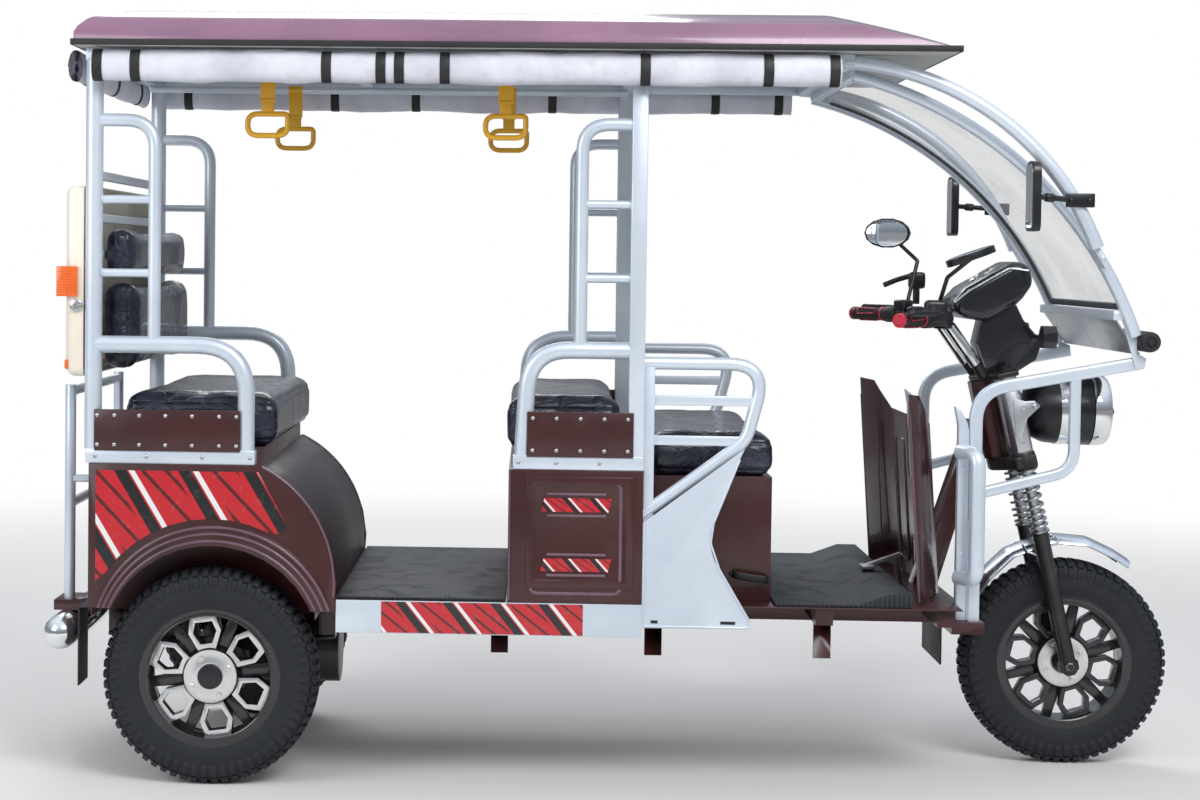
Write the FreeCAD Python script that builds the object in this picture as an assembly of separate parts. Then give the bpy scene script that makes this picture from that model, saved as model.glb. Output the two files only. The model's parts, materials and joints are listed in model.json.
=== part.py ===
# Three-wheeled battery auto rickshaw with open sides, modelled as separate sub-parts.
# Units are millimetres. X points forward, Y to the vehicle's left and Z up from the ground.
# Every size below is measured from the rear axle line; the finished solids are moved so that the
# origin lies on the ground under the middle of the vehicle.
import FreeCAD
import Part
import math
import os

V = FreeCAD.Vector
X_AXIS = V(1, 0, 0)
Y_AXIS = V(0, 1, 0)
Z_AXIS = V(0, 0, 1)

# Overall layout
WHEELBASE = 2067.0
REAR_REACH = 398.0
TYRE_RADIUS = 253.5
TYRE_WIDTH = 96.0
REAR_TRACK = 790.0
SEAT_GAP = 0.3
SHEET = 3.0

# Body widths, each measured from the middle plane
FRAME_Y = 430.0
BODY_Y = 452.0
ROOF_Y = 515.0
CHASSIS_Y = 220.0

# Heights
CHASSIS_TOP = 440.0
RAIL_HEIGHT = 60.0
RAIL_WIDTH = 40.0
BODY_BOTTOM = 415.0
DECK_TOP = 751.0
BASE_RAIL_HEIGHT = 34.0
ROOF_RAIL_BOTTOM = 1682.0
ROOF_RAIL_HEIGHT = 30.0
CEILING = 4.0
ROOF_RISE = 120.0

# Lengths along X from the rear axle
TAIL_X = -280.0
REAR_PILLAR_X = -278.0
RISER_TOP_X = 121.0
RISER_FOOT_X = 291.0
MID_BOX_X = (691.0, 1001.0)
MID_PILLAR_X = 985.0
DRIVER_BOX_X = (1001.0, 1304.0)
FLOOR_FRONT_X = WHEELBASE - 331.0
ROOF_REAR_X = -312.0
ROOF_FRONT_X = WHEELBASE - 373.0

# Tube sizes
TUBE_SIDES = 8
SMALL_SIDES = 8
BEND_STEP = math.radians(30.0)
ARC_STEPS = 9
PILLAR_R = 20.0
HOOP_R = 15.0
ARMREST_R = 20.0
RUNG_R = 10.0
HOOP_BEND = 95.0
ARMREST_BEND_SHARE = 0.537
MID_ARMREST_BEND_SHARE = 0.413
HOOP_TOP = 1547.0
ARMREST_HEIGHT = 1027.0
RUNG_HEIGHTS = (1193.0, 1363.0)

# Steering
RAKE = math.radians(13.0)
AXIS_SET_BACK = 50.0
FORK_Y = 85.0
HEAD_TUBE_Z = (760.0, 950.0)
RUNNING_GAP = 0.05
FACE_GAP = 0.5


def ahead(*points):
    """Points given with X from the front axle line, as points from the rear axle line."""
    return tuple((WHEELBASE + p[0],) + tuple(p[1:]) for p in points)


def box(x, y, z):
    """A block between three pairs of limits."""
    return Part.makeBox(x[1] - x[0], y[1] - y[0], z[1] - z[0], V(x[0], y[0], z[0]))


def mirrored(shape):
    """The same shape on the other side of the vehicle."""
    return shape.mirror(V(0, 0, 0), Y_AXIS)


def both_sides(shape):
    """A shape and its mirror image, as separate solids."""
    return Part.makeCompound([shape, mirrored(shape)])


def fused(shapes):
    """One clean solid from solids that touch or overlap."""
    result = shapes[0].multiFuse(shapes[1:]) if len(shapes) > 1 else shapes[0]
    return result.removeSplitter()


def side_plate(points, y_low, y_high):
    """A plate cut to an outline of (x, z) points, between two Y planes."""
    return flat_face([V(x, y_low, z) for x, z in points]).extrude(V(0, y_high - y_low, 0))


def outline_plate(edges, y_low, y_high):
    """A plate from edges already drawn in the plane Y = 0."""
    wire = Part.Wire(Part.__sortEdges__(edges))
    wire.translate(V(0, y_low, 0))
    return Part.Face(wire).extrude(V(0, y_high - y_low, 0))


def line(a, b):
    """A straight edge between two (x, z) points in the plane Y = 0."""
    return Part.LineSegment(V(a[0], 0, a[1]), V(b[0], 0, b[1])).toShape()


def arc(a, through, b):
    """An arc through three (x, z) points in the plane Y = 0."""
    return Part.Arc(V(a[0], 0, a[1]), V(through[0], 0, through[1]), V(b[0], 0, b[1])).toShape()


def bowed(a, through, b, steps):
    """Straight edges that follow the arc through three (x, z) points of the plane Y = 0."""
    points = arc(a, through, b).discretize(steps + 1)
    return [Part.LineSegment(p, q).toShape() for p, q in zip(points, points[1:])]


def section(centre, direction, normal, half_width, half_height, sides):
    """The corners of a tube's section: a polygon of the given sides, or a rectangle for four."""
    across = direction.cross(normal)
    across.normalize()
    if sides == 4:
        signs = ((1, 1), (-1, 1), (-1, -1), (1, -1))
        return [centre + across * (half_width * u) + normal * (half_height * v) for u, v in signs]
    grow = 1.0 / math.sqrt(math.cos(math.pi / sides))
    turns = [2.0 * math.pi * (k + 0.5) / sides for k in range(sides)]
    return [centre + across * (half_width * grow * math.cos(t))
            + normal * (half_height * grow * math.sin(t)) for t in turns]


def flat_reach(radius, sides=TUBE_SIDES):
    """How far a tube's flats lie from its middle line."""
    return radius * math.sqrt(math.cos(math.pi / sides))


def flat_face(corners):
    """A flat face inside a closed run of corners."""
    return Part.Face(Part.makePolygon(corners + corners[:1]))


def solid_of(faces):
    """The solid that a closed set of faces bounds."""
    solid = Part.Solid(Part.Shell(faces))
    if solid.Volume < 0.0:
        solid.reverse()
    return solid


def skinned(rings):
    """A solid through rings of corners, with flat facets between them and a flat face at each end."""
    faces = [flat_face(rings[0]), flat_face(rings[-1])]
    for first, second in zip(rings, rings[1:]):
        for k, corner in enumerate(first):
            after = (k + 1) % len(first)
            faces.append(flat_face([corner, first[after], second[after], second[k]]))
    return solid_of(faces)


def turned(ring, centre, axis, angle):
    """Corners turned about an axis through a point."""
    spin = FreeCAD.Rotation(axis, math.degrees(angle))
    return [centre + spin.multVec(corner - centre) for corner in ring]


def bent_tube(points, half_width, bend, normal=Y_AXIS, half_height=None, sides=TUBE_SIDES):
    """A tube along straight runs joined by tangent bends, all in one plane across the normal."""
    half_height = half_width if half_height is None else half_height
    path = [V(*p) for p in points]
    run = path[1] - path[0]
    run.normalize()
    rings = [section(path[0], run, normal, half_width, half_height, sides)]
    for corner, target in zip(path[1:], path[2:]):
        after = target - corner
        after.normalize()
        turn = run.getAngle(after)
        stop = corner - run * (bend * math.tan(turn / 2.0))
        axis = run.cross(after)
        axis.normalize()
        centre = stop + axis.cross(run) * bend
        ring = section(stop, run, normal, half_width, half_height, sides)
        steps = max(2, int(round(turn / BEND_STEP)))
        rings += [turned(ring, centre, axis, turn * k / steps) for k in range(steps + 1)]
        run = after
    rings.append(section(path[-1], run, normal, half_width, half_height, sides))
    return skinned(rings)


def arc_tube(a, through, b, half_width, sides=TUBE_SIDES):
    """A tube bent to one arc through three points of a plane Y = constant."""
    centre = Part.Arc(V(*a), V(*through), V(*b)).toShape().Curve.Center
    start = V(*a)
    radial = start - centre
    axis = radial.cross(V(*through) - centre)
    axis.normalize()
    direction = axis.cross(radial)
    direction.normalize()
    sweep = radial.getAngle(V(*b) - centre)
    ring = section(start, direction, Y_AXIS, half_width, half_width, sides)
    return skinned([turned(ring, centre, axis, sweep * k / ARC_STEPS) for k in range(ARC_STEPS + 1)])


def rod(a, b, radius, sides=TUBE_SIDES):
    """A straight round bar between two points."""
    start, end = V(*a), V(*b)
    run = end - start
    run.normalize()
    helper = Y_AXIS if abs(run.dot(Y_AXIS)) < 0.9 else Z_AXIS
    normal = helper - run * run.dot(helper)
    normal.normalize()
    return flat_face(section(start, run, normal, radius, radius, sides)).extrude(end - start)


def cylinder(centre, radius, length, axis=Y_AXIS):
    """A true round cylinder that starts at a point and runs along an axis."""
    return Part.makeCylinder(radius, length, V(*centre), axis)


def ring_of_facets(profile, count, phase=0.0, closed=True):
    """A wheel-like solid: an (r, y) outline turned about Y in equal flat facets.

    A closed outline makes a ring; an open one starts and ends on the axis.
    """
    turns = [phase + 2.0 * math.pi * k / count for k in range(count + 1)]
    edges = list(zip(profile, profile[1:] + profile[:1] if closed else profile[1:]))
    faces = []
    for first, second in zip(turns, turns[1:]):
        for (r1, y1), (r2, y2) in edges:
            corners = [V(r1 * math.cos(first), y1, r1 * math.sin(first))]
            corners.append(V(r2 * math.cos(first), y2, r2 * math.sin(first)))
            if r2 > 0.0:
                corners.append(V(r2 * math.cos(second), y2, r2 * math.sin(second)))
            if r1 > 0.0:
                corners.append(V(r1 * math.cos(second), y1, r1 * math.sin(second)))
            faces.append(flat_face(corners))
    return solid_of(faces)


# Wheels

LUG_COUNT = 34
LUG_DEPTH = 26.0
LUG_REACH = 17.0
LUG_SHARE = 0.36
BEAD_R = 153.0
RIM_FACETS = 24
RIM_HALF_WIDTH = 42.0
BEAD_Y = 37.0
RIM_SEAT_R = BEAD_R * math.cos(math.pi / LUG_COUNT) - SEAT_GAP
RIM_FLANGE_R = 166.0
RIM_BORE_R = 143.0
PETAL_COUNT = 6
PETAL_PHASE = 8.0
FRONT_PETAL_PHASE = 17.0
PETAL_OUTER = ((62.0, 21.0), (104.0, 39.5), (144.0, 30.0))
PETAL_INNER = ((76.0, 13.0), (104.0, 27.0), (127.0, 19.0))
PETAL_Y = (-26.0, -10.0)
SPOKE_Y = (-10.0, 8.0)
SPOKE_HALF = 12.0
HUB_R = 62.5
HUB_FACETS = 12
HUB_Y = (-34.0, 34.0)
HUB_CAP_R = 29.0
HUB_CAP_REACH = 9.0
FRONT_AXLE_R = 8.0


def tyre():
    """A tyre with shoulder lugs, centred on the axle line."""
    half = TYRE_WIDTH / 2.0
    profile = [(BEAD_R, -BEAD_Y), (182.0, -46.0), (220.0, -half), (243.0, -40.0), (TYRE_RADIUS, -22.0),
               (TYRE_RADIUS, 22.0), (243.0, 40.0), (220.0, half), (182.0, 46.0), (BEAD_R, BEAD_Y)]
    ring = ring_of_facets(profile, LUG_COUNT)
    pitch = 2.0 * math.pi / LUG_COUNT
    groove_half = TYRE_RADIUS * pitch * LUG_SHARE / 2.0
    notch = box((-groove_half, groove_half), (half - LUG_REACH, half + 1.0),
                (TYRE_RADIUS - LUG_DEPTH, TYRE_RADIUS + 1.0))
    cutters = []
    for k in range(LUG_COUNT):
        for flip in (False, True):
            cutter = mirrored(notch) if flip else notch.copy()
            cutter.rotate(V(0, 0, 0), Y_AXIS, math.degrees(pitch * (k + 0.5)))
            cutters.append(cutter)
    return ring.cut(Part.makeCompound(cutters))


def rim(phase):
    """An alloy wheel with hexagonal petals, its bright face towards -Y."""
    half = RIM_HALF_WIDTH
    profile = [(RIM_BORE_R, -half), (RIM_FLANGE_R, -half - 2.0), (RIM_FLANGE_R, -half), (RIM_SEAT_R, -BEAD_Y - SEAT_GAP),
               (RIM_SEAT_R, BEAD_Y + SEAT_GAP), (RIM_FLANGE_R, half), (RIM_FLANGE_R, half + 2.0), (RIM_BORE_R, half)]
    barrel = ring_of_facets(profile, RIM_FACETS)
    pieces = [barrel, rod((0, HUB_Y[0], 0), (0, HUB_Y[1], 0), HUB_R, HUB_FACETS)]
    outer = [V(-w, 0, r) for r, w in PETAL_OUTER] + [V(w, 0, r) for r, w in reversed(PETAL_OUTER)]
    inner = [V(-w, 0, r) for r, w in PETAL_INNER] + [V(w, 0, r) for r, w in reversed(PETAL_INNER)]
    plate = Part.Face(Part.makePolygon(outer + outer[:1]))
    window = Part.Face(Part.makePolygon(inner + inner[:1]))
    petal = plate.cut(window).extrude(V(0, PETAL_Y[1] - PETAL_Y[0], 0))
    petal.translate(V(0, PETAL_Y[0], 0))
    spoke = box((-SPOKE_HALF, SPOKE_HALF), SPOKE_Y, (HUB_R - 4.0, RIM_BORE_R + 1.0))
    for k in range(PETAL_COUNT):
        turn = phase + 360.0 * k / PETAL_COUNT
        for piece, offset in ((petal, 0.0), (spoke, 180.0 / PETAL_COUNT)):
            copy = piece.copy()
            copy.rotate(V(0, 0, 0), Y_AXIS, -turn - offset)
            pieces.append(copy)
    return fused(pieces)


def rear_rim():
    """A rear wheel with its centre cap outside and its brake drum inside."""
    cap = cylinder((0, HUB_Y[0] - HUB_CAP_REACH, 0), HUB_CAP_R, HUB_CAP_REACH)
    drum = rod((0, DRUM_Y[0], 0), (0, DRUM_Y[1], 0), DRUM_R, HUB_FACETS)
    return fused([rim(PETAL_PHASE), cap, drum])


def front_rim():
    """The front wheel, bored for its axle."""
    bore = cylinder((0, -RIM_HALF_WIDTH, 0), FRONT_AXLE_R + RUNNING_GAP, 2.0 * RIM_HALF_WIDTH)
    return rim(FRONT_PETAL_PHASE).cut(bore)


DRUM_R = 82.0
DRUM_Y = (HUB_Y[1], HUB_Y[1] + 22.0)


def wheel_parts():
    """Tyre and rim of the three wheels, at their places."""
    rear_y = REAR_TRACK / 2.0
    rolled_tyre = tyre()
    parts = {}
    for name, sign in (("right", -1), ("left", 1)):
        at = V(0, sign * rear_y, TYRE_RADIUS)
        for piece, shape in (("tyre", rolled_tyre), ("rim", rear_rim())):
            placed = shape.copy() if sign < 0 else mirrored(shape)
            placed.translate(at)
            parts["rear_%s_%s" % (piece, name)] = placed
    at = V(WHEELBASE, 0, TYRE_RADIUS)
    for piece, shape in (("tyre", rolled_tyre), ("rim", front_rim())):
        placed = shape.copy()
        placed.translate(at)
        parts["front_" + piece] = placed
    return parts


# Chassis and running gear

CROSS_MEMBERS_X = (-255.0, 674.0, 1031.0, FLOOR_FRONT_X - 314.0, FLOOR_FRONT_X - 36.0)
CROSS_WIDTH = 40.0
OUTRIGGER_Y = 438.0
TAB_Y = (396.0, 404.0)
TAB_HALF = 20.0
TAB_BOTTOM = 318.0
NECK_HALF = 30.0
NECK_OUTLINE = ahead((-387.0, 400.0), (-325.0, 400.0), (-221.0, 752.0), (-199.0, 792.0), (-217.0, 850.0),
                     (-239.0, 850.0))
HEAD_TUBE_R = 32.0
STEM_R = 14.0
AXLE_TUBE_R = 30.0
SPRING_LEAF = 8.0
SPRING_BOW = 0.00022
SPRING_HALVES = (275.0, 200.0, 130.0)
HANGER_HALF = 20.0
HANGER_BOTTOM = (TYRE_RADIUS + flat_reach(AXLE_TUBE_R) + SEAT_GAP + SPRING_LEAF * len(SPRING_HALVES)
                 + SPRING_BOW * SPRING_HALVES[0] ** 2 + SEAT_GAP)
SPRING_EYE_X = SPRING_HALVES[0] - HANGER_HALF


FRONT_BEAM_X = FLOOR_FRONT_X + 64.0
FRONT_BEAM_Y = 380.0
FRONT_BEAM_Z = (375.0, 403.0)
BUMPER_BRACKET_X = -392.0
BUMPER_BRACKET_Y = 320.0
BUMPER_BRACKET_Z = (386.0, 410.0)


def steering_point(height):
    """The place on the steering axis at a height."""
    back = WHEELBASE - AXIS_SET_BACK - (height - TYRE_RADIUS) * math.tan(RAKE)
    return V(back, 0, height)


STEER_DIRECTION = V(-math.sin(RAKE), 0, math.cos(RAKE))


def along_steering(low, high, radius):
    """A cylinder on the steering axis between two heights, its ends square to the axis."""
    start = steering_point(low)
    length = (high - low) / math.cos(RAKE)
    return Part.makeCylinder(radius, length, start, STEER_DIRECTION)


def chassis_frame():
    """Two box-section rails with cross members, spring hangers, the neck and the head tube."""
    low = CHASSIS_TOP - RAIL_HEIGHT
    rail = box((TAIL_X + SHEET, FLOOR_FRONT_X - 12.0), (CHASSIS_Y - RAIL_WIDTH / 2, CHASSIS_Y + RAIL_WIDTH / 2),
               (low, CHASSIS_TOP))
    pieces = [rail, mirrored(rail)]
    for x in CROSS_MEMBERS_X:
        span = (x - CROSS_WIDTH / 2, x + CROSS_WIDTH / 2)
        reach = OUTRIGGER_Y if x > RISER_FOOT_X else CHASSIS_Y
        pieces.append(box(span, (-reach, reach), (CHASSIS_TOP - 40.0, CHASSIS_TOP)))
        if RISER_FOOT_X < x < FLOOR_FRONT_X - 100.0:
            tab = box((x - TAB_HALF, x + TAB_HALF), TAB_Y, (TAB_BOTTOM, CHASSIS_TOP - 20.0))
            pieces += [tab, mirrored(tab)]
    for x in (-SPRING_EYE_X, SPRING_EYE_X):
        hanger = box((x - HANGER_HALF, x + HANGER_HALF), (CHASSIS_Y - 20.0, CHASSIS_Y + 20.0),
                     (HANGER_BOTTOM, low + 1.0))
        pieces += [hanger, mirrored(hanger)]
    pieces.append(side_plate(NECK_OUTLINE, -NECK_HALF, NECK_HALF))
    pieces.append(box((FLOOR_FRONT_X - 12.0, FRONT_BEAM_X), (-FRONT_BEAM_Y, FRONT_BEAM_Y), FRONT_BEAM_Z))
    bracket = box((BUMPER_BRACKET_X, TAIL_X + SHEET), (CHASSIS_Y - 20.0, BUMPER_BRACKET_Y), BUMPER_BRACKET_Z)
    pieces += [bracket, mirrored(bracket)]
    pieces.append(along_steering(HEAD_TUBE_Z[0], HEAD_TUBE_Z[1], HEAD_TUBE_R))
    frame = fused(pieces)
    return frame.cut(along_steering(HEAD_TUBE_Z[0] - 60.0, HEAD_TUBE_Z[1] + 60.0, STEM_R + RUNNING_GAP))


DIFF_R = 88.0
MOTOR_R = 82.0
MOTOR_LENGTH = 210.0
SPRING_WIDTH = 50.0


def rear_axle():
    """The axle tube with its differential case and the drive motor in front of it."""
    reach = REAR_TRACK / 2.0 - DRUM_Y[1] - FACE_GAP
    tube = rod((0, -reach, TYRE_RADIUS), (0, reach, TYRE_RADIUS), AXLE_TUBE_R)
    profile = [(0.0, -95.0), (DIFF_R * 0.6, -90.0), (DIFF_R, -42.0), (DIFF_R, 0.0), (DIFF_R * 0.6, 48.0), (0.0, 53.0)]
    case = ring_of_facets(profile, 16, closed=False)
    case.translate(V(0, 0, TYRE_RADIUS))
    motor = rod((60.0, -20.0, TYRE_RADIUS), (60.0 + MOTOR_LENGTH, -20.0, TYRE_RADIUS), MOTOR_R, 16)
    return fused([tube, case, motor])


def leaf_springs():
    """A pack of three flat leaves over the axle tube on each side, hung from the chassis."""
    base = TYRE_RADIUS + flat_reach(AXLE_TUBE_R) + SEAT_GAP
    leaves = []
    for k, half in enumerate(SPRING_HALVES):
        z = base + SPRING_LEAF * (len(SPRING_HALVES) - 1 - k)
        rise = SPRING_BOW * half * half
        edges = [arc((-half, z + rise), (0.0, z), (half, z + rise)),
                 line((half, z + rise), (half, z + rise + SPRING_LEAF)),
                 arc((half, z + rise + SPRING_LEAF), (0.0, z + SPRING_LEAF), (-half, z + rise + SPRING_LEAF)),
                 line((-half, z + rise + SPRING_LEAF), (-half, z + rise))]
        leaves.append(outline_plate(edges, CHASSIS_Y - SPRING_WIDTH / 2, CHASSIS_Y + SPRING_WIDTH / 2))
    pack = fused(leaves)
    return pack


# Floor, sills and body sheets

FLOOR = (CHASSIS_TOP, CHASSIS_TOP + SHEET)
FLOOR_TOP = CHASSIS_TOP + SHEET
SILL_BOTTOM = 367.0
SILL_FLANGE = 25.0
REAR_FLOOR_Y = 332.0
RAMP_X = FLOOR_FRONT_X - 236.0
RAMP_END_X = FLOOR_FRONT_X - 116.0
RAMP_RISE = 26.0
MAT = 7.0


def floor_pan():
    """The flat floor sheet, narrow between the rear wheels and full width ahead of them."""
    rear = box((TAIL_X, RISER_FOOT_X), (-REAR_FLOOR_Y, REAR_FLOOR_Y), FLOOR)
    main = box((RISER_FOOT_X, FLOOR_FRONT_X), (-BODY_Y, BODY_Y), FLOOR)
    notch = box((FLOOR_FRONT_X - 50.0, FLOOR_FRONT_X + 1.0), (-NECK_HALF - 2.0, NECK_HALF + 2.0), (FLOOR[0] - 1.0, FLOOR_TOP + 1.0))
    return fused([rear, main]).cut(notch)


def floor_mats():
    """The rubber mats on the passenger floor and, rising to a step, on the driver's floor."""
    rear = box((RISER_FOOT_X + 8.0, MID_BOX_X[0] - 4.0), (-BODY_Y + 8.0, BODY_Y - 8.0),
               (FLOOR_TOP, FLOOR_TOP + MAT))
    top = FLOOR_TOP + MAT
    driver = side_plate(((DRIVER_BOX_X[1] + 4.0, FLOOR_TOP), (RAMP_END_X, FLOOR_TOP),
                         (RAMP_END_X, top + RAMP_RISE), (RAMP_END_X - 50.0, top + RAMP_RISE),
                         (RAMP_X, top), (DRIVER_BOX_X[1] + 4.0, top)), -BODY_Y + 8.0, BODY_Y - 8.0)
    return Part.makeCompound([rear, driver])


def side_sill(x_low, x_high):
    """A channel along the floor's edge on the right side."""
    web = box((x_low, x_high), (-BODY_Y - SHEET, -BODY_Y), (SILL_BOTTOM, FLOOR_TOP))
    foot = box((x_low, x_high), (-BODY_Y, -BODY_Y + SILL_FLANGE), (SILL_BOTTOM, SILL_BOTTOM + SHEET))
    return fused([web, foot])


ARCH_INNER = (5.0, 308.2, 255.8)
ARCH_OUTER = (11.0, 324.0, 289.0)
FLARE = 12.0
ARCH_SIDES = 32


def arch_half_width(arch, z):
    """Half the width of a wheel-arch circle at a height."""
    return math.sqrt(arch[2] ** 2 - (z - arch[1]) ** 2)


def arch_disc(arch, y_low, y_high):
    """A many-sided disc that fills a wheel-arch circle."""
    return rod((arch[0], y_low, arch[1]), (arch[0], y_high, arch[1]), arch[2], ARCH_SIDES)


def quarter_outline():
    """The edges round the rear quarter: tail, top, and the bowed front edge."""
    top = DECK_TOP
    return [line((TAIL_X - SHEET, BODY_BOTTOM), (TAIL_X - SHEET, top)),
            line((TAIL_X - SHEET, top), (RISER_TOP_X, top)),
            *bowed((RISER_TOP_X, top), (225.0, 668.0), (RISER_FOOT_X, BODY_BOTTOM), 6),
            line((RISER_FOOT_X, BODY_BOTTOM), (TAIL_X - SHEET, BODY_BOTTOM))]


def rear_quarter():
    """The right rear side sheet with its raised wheel-arch flare."""
    sheet = outline_plate(quarter_outline(), -BODY_Y - SHEET, -BODY_Y)
    flare = arch_disc(ARCH_OUTER, -BODY_Y - FLARE, -BODY_Y)
    flare = flare.common(box((-400.0, 400.0), (-BODY_Y - FLARE, -BODY_Y), (BODY_BOTTOM, 700.0)))
    panel = fused([sheet, flare])
    return panel.cut(arch_disc(ARCH_INNER, -BODY_Y - FLARE - 1.0, -BODY_Y + 1.0))


WHEELHOUSE_Y = (REAR_TRACK - TYRE_WIDTH) / 2.0 - 12.0
WHEELHOUSE_TOP = 600.0
WHEELHOUSE_X = (-276.0, 248.0)


def wheelhouse():
    """The inner wing over the right rear wheel: a side wall, a top and two ends."""
    walls = box(WHEELHOUSE_X, (-BODY_Y, -WHEELHOUSE_Y), (BODY_BOTTOM - 20.0, WHEELHOUSE_TOP))
    hollow = box((WHEELHOUSE_X[0] + SHEET, WHEELHOUSE_X[1] - SHEET), (-BODY_Y - 1.0, -WHEELHOUSE_Y - SHEET),
                 (BODY_BOTTOM - 21.0, WHEELHOUSE_TOP - SHEET))
    return walls.cut(hollow)


def rear_body_side():
    """The right rear side sheet with its inner wing welded behind it."""
    return fused([rear_quarter(), wheelhouse()])


def tail_sheet():
    """The flat rear body sheet with two number-plate holes."""
    sheet = box((TAIL_X - SHEET, TAIL_X), (-BODY_Y, BODY_Y), (BODY_BOTTOM, DECK_TOP))
    for sign in (-1, 1):
        sheet = sheet.cut(cylinder((TAIL_X - SHEET - 1.0, sign * PLATE_SPACING / 2, PLATE_Z), PLATE_HOLE_R,
                                   SHEET + 2.0, X_AXIS))
    return sheet


PLATE_SPACING = 150.0
PLATE_Z = 560.0
PLATE_HOLE_R = 3.5


def seat_riser():
    """The bowed sheet under the front of the rear seat, running across the cabin."""
    y = BODY_Y - SHEET
    outer = bowed((RISER_TOP_X, DECK_TOP - SHEET), (224.0, 666.0), (RISER_FOOT_X, FLOOR_TOP), 6)
    inner = bowed((RISER_TOP_X - SHEET, DECK_TOP - SHEET), (221.0, 664.5), (RISER_FOOT_X - SHEET, FLOOR_TOP), 6)
    edges = outer + inner + [line((RISER_TOP_X, DECK_TOP - SHEET), (RISER_TOP_X - SHEET, DECK_TOP - SHEET)),
             line((RISER_FOOT_X, FLOOR_TOP), (RISER_FOOT_X - SHEET, FLOOR_TOP))]
    return outline_plate(edges, -y, y)


def rear_deck():
    """The tail sheet, the sheet under the rear seat and the ring that carries the cushion."""
    deck = box((TAIL_X, RISER_TOP_X), (-BODY_Y, BODY_Y), (DECK_TOP - SHEET, DECK_TOP))
    return fused([deck, tail_sheet(), seat_support(-225.0, 118.0)])


SEAT_FRAME = 25.0
CUSHION_BASE = DECK_TOP + 38.0
CUSHION_FRONT_X = 158.0


def seat_support(x_low, x_high):
    """A square-tube ring that holds a cushion off the deck."""
    outer = box((x_low, x_high), (-395.0, 395.0), (DECK_TOP, CUSHION_BASE))
    inner = box((x_low + SEAT_FRAME, x_high - SEAT_FRAME), (-395.0 + SEAT_FRAME, 395.0 - SEAT_FRAME),
                (DECK_TOP - 1.0, CUSHION_BASE + 1.0))
    return outer.cut(inner)


def seat_box(x, y_half, top):
    """A hollow seat box of thin sheet, open downwards on to the floor."""
    outer = box(x, (-y_half, y_half), (FLOOR_TOP, top))
    inner = box((x[0] + SHEET, x[1] - SHEET), (-y_half + SHEET, y_half - SHEET), (FLOOR_TOP - 1.0, top - SHEET))
    return outer.cut(inner)


EMBOSS = 4.0


def mid_seat_box():
    """The box under the middle seat, with a pressed frame on each side."""
    shell = seat_box(MID_BOX_X, BODY_Y, DECK_TOP)
    low, high = MID_BOX_X[0] + 42.0, MID_BOX_X[1] - 22.0
    frame = box((low, high), (-BODY_Y - EMBOSS, -BODY_Y), (478.0, 736.0))
    window = box((low + 18.0, high - 18.0), (-BODY_Y - EMBOSS - 1.0, -BODY_Y + 1.0), (496.0, 718.0))
    bead = frame.cut(window)
    return fused([shell, bead, mirrored(bead), seat_support(700.0, 955.0)])


DRIVER_BOX_Y = 375.0
PANEL_RAIL_Z = (390.0, 632.0)
WAIST_LINE = ((1247.0, 412.0), (1178.0, 528.0), (1157.0, 588.0), (1163.0, 634.0), (1221.0, 782.0), (1232.0, 806.0))
DRIVER_BOX_TOP = 735.0


def driver_side_panel():
    """The right sill with the waisted panel beside the driver's seat welded to its end."""
    y_low, y_high = -BODY_Y - SHEET, -BODY_Y
    low, high = PANEL_RAIL_Z
    back = MID_BOX_X[1]
    foot, waist_low, waist, waist_high, head, brow = WAIST_LINE
    edges = [line((back, low), (foot[0], low)), line((foot[0], low), foot), line(foot, waist_low),
             arc(waist_low, waist, waist_high), line(waist_high, head), line(head, brow),
             line(brow, (back, high)), line((back, high), (back, low))]
    sheet = outline_plate(edges, y_low, y_high)
    tie = box((back, back + SHEET), (-BODY_Y, -BODY_Y + 6.0), (FLOOR_TOP, high))
    return fused([sheet, tie, side_sill(RISER_FOOT_X + 4.0, MID_BOX_X[1])])


# Soft parts

def cushion(x, y_half, z, nose):
    """A seat cushion: a slab with a rounded front edge."""
    slab = box(x, (-y_half, y_half), z)
    wanted = [e for e in slab.Edges if abs(e.Vertexes[0].Y - e.Vertexes[-1].Y) > y_half
              and e.BoundBox.ZMin > z[1] - 1.0]
    return slab.makeFillet(nose, wanted)


def mid_cushion():
    """The rear-facing middle cushion."""
    return cushion((675.0, 962.0), 400.0, (CUSHION_BASE + SEAT_GAP, 914.0), 35.0)


# Side frames

def rear_side_frame():
    """The right rear frame: base rail, pillar, hoop with two rungs, and armrest."""
    y = -FRAME_Y
    base_top = DECK_TOP + BASE_RAIL_HEIGHT
    base = box((-292.0, 103.0), (y - PILLAR_R, y + PILLAR_R), (DECK_TOP, base_top))
    pillar = rod((REAR_PILLAR_X, y, base_top - 1.0), (REAR_PILLAR_X, y, ROOF_RAIL_BOTTOM), PILLAR_R)
    hoop_x = -137.0
    hoop = bent_tube(((REAR_PILLAR_X, y, HOOP_TOP), (hoop_x, y, HOOP_TOP), (hoop_x, y, ARMREST_HEIGHT)),
                     HOOP_R, HOOP_BEND, sides=SMALL_SIDES)
    armrest = bent_tube(((REAR_PILLAR_X, y, ARMREST_HEIGHT), (80.0, y, ARMREST_HEIGHT),
                         (80.0, y, base_top - 1.0)), ARMREST_R, ARMREST_BEND_SHARE * (ARMREST_HEIGHT - base_top))
    rungs = [rod((REAR_PILLAR_X, y, z), (hoop_x, y, z), RUNG_R, SMALL_SIDES) for z in RUNG_HEIGHTS]
    return fused([base, pillar, hoop, armrest] + rungs)


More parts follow.
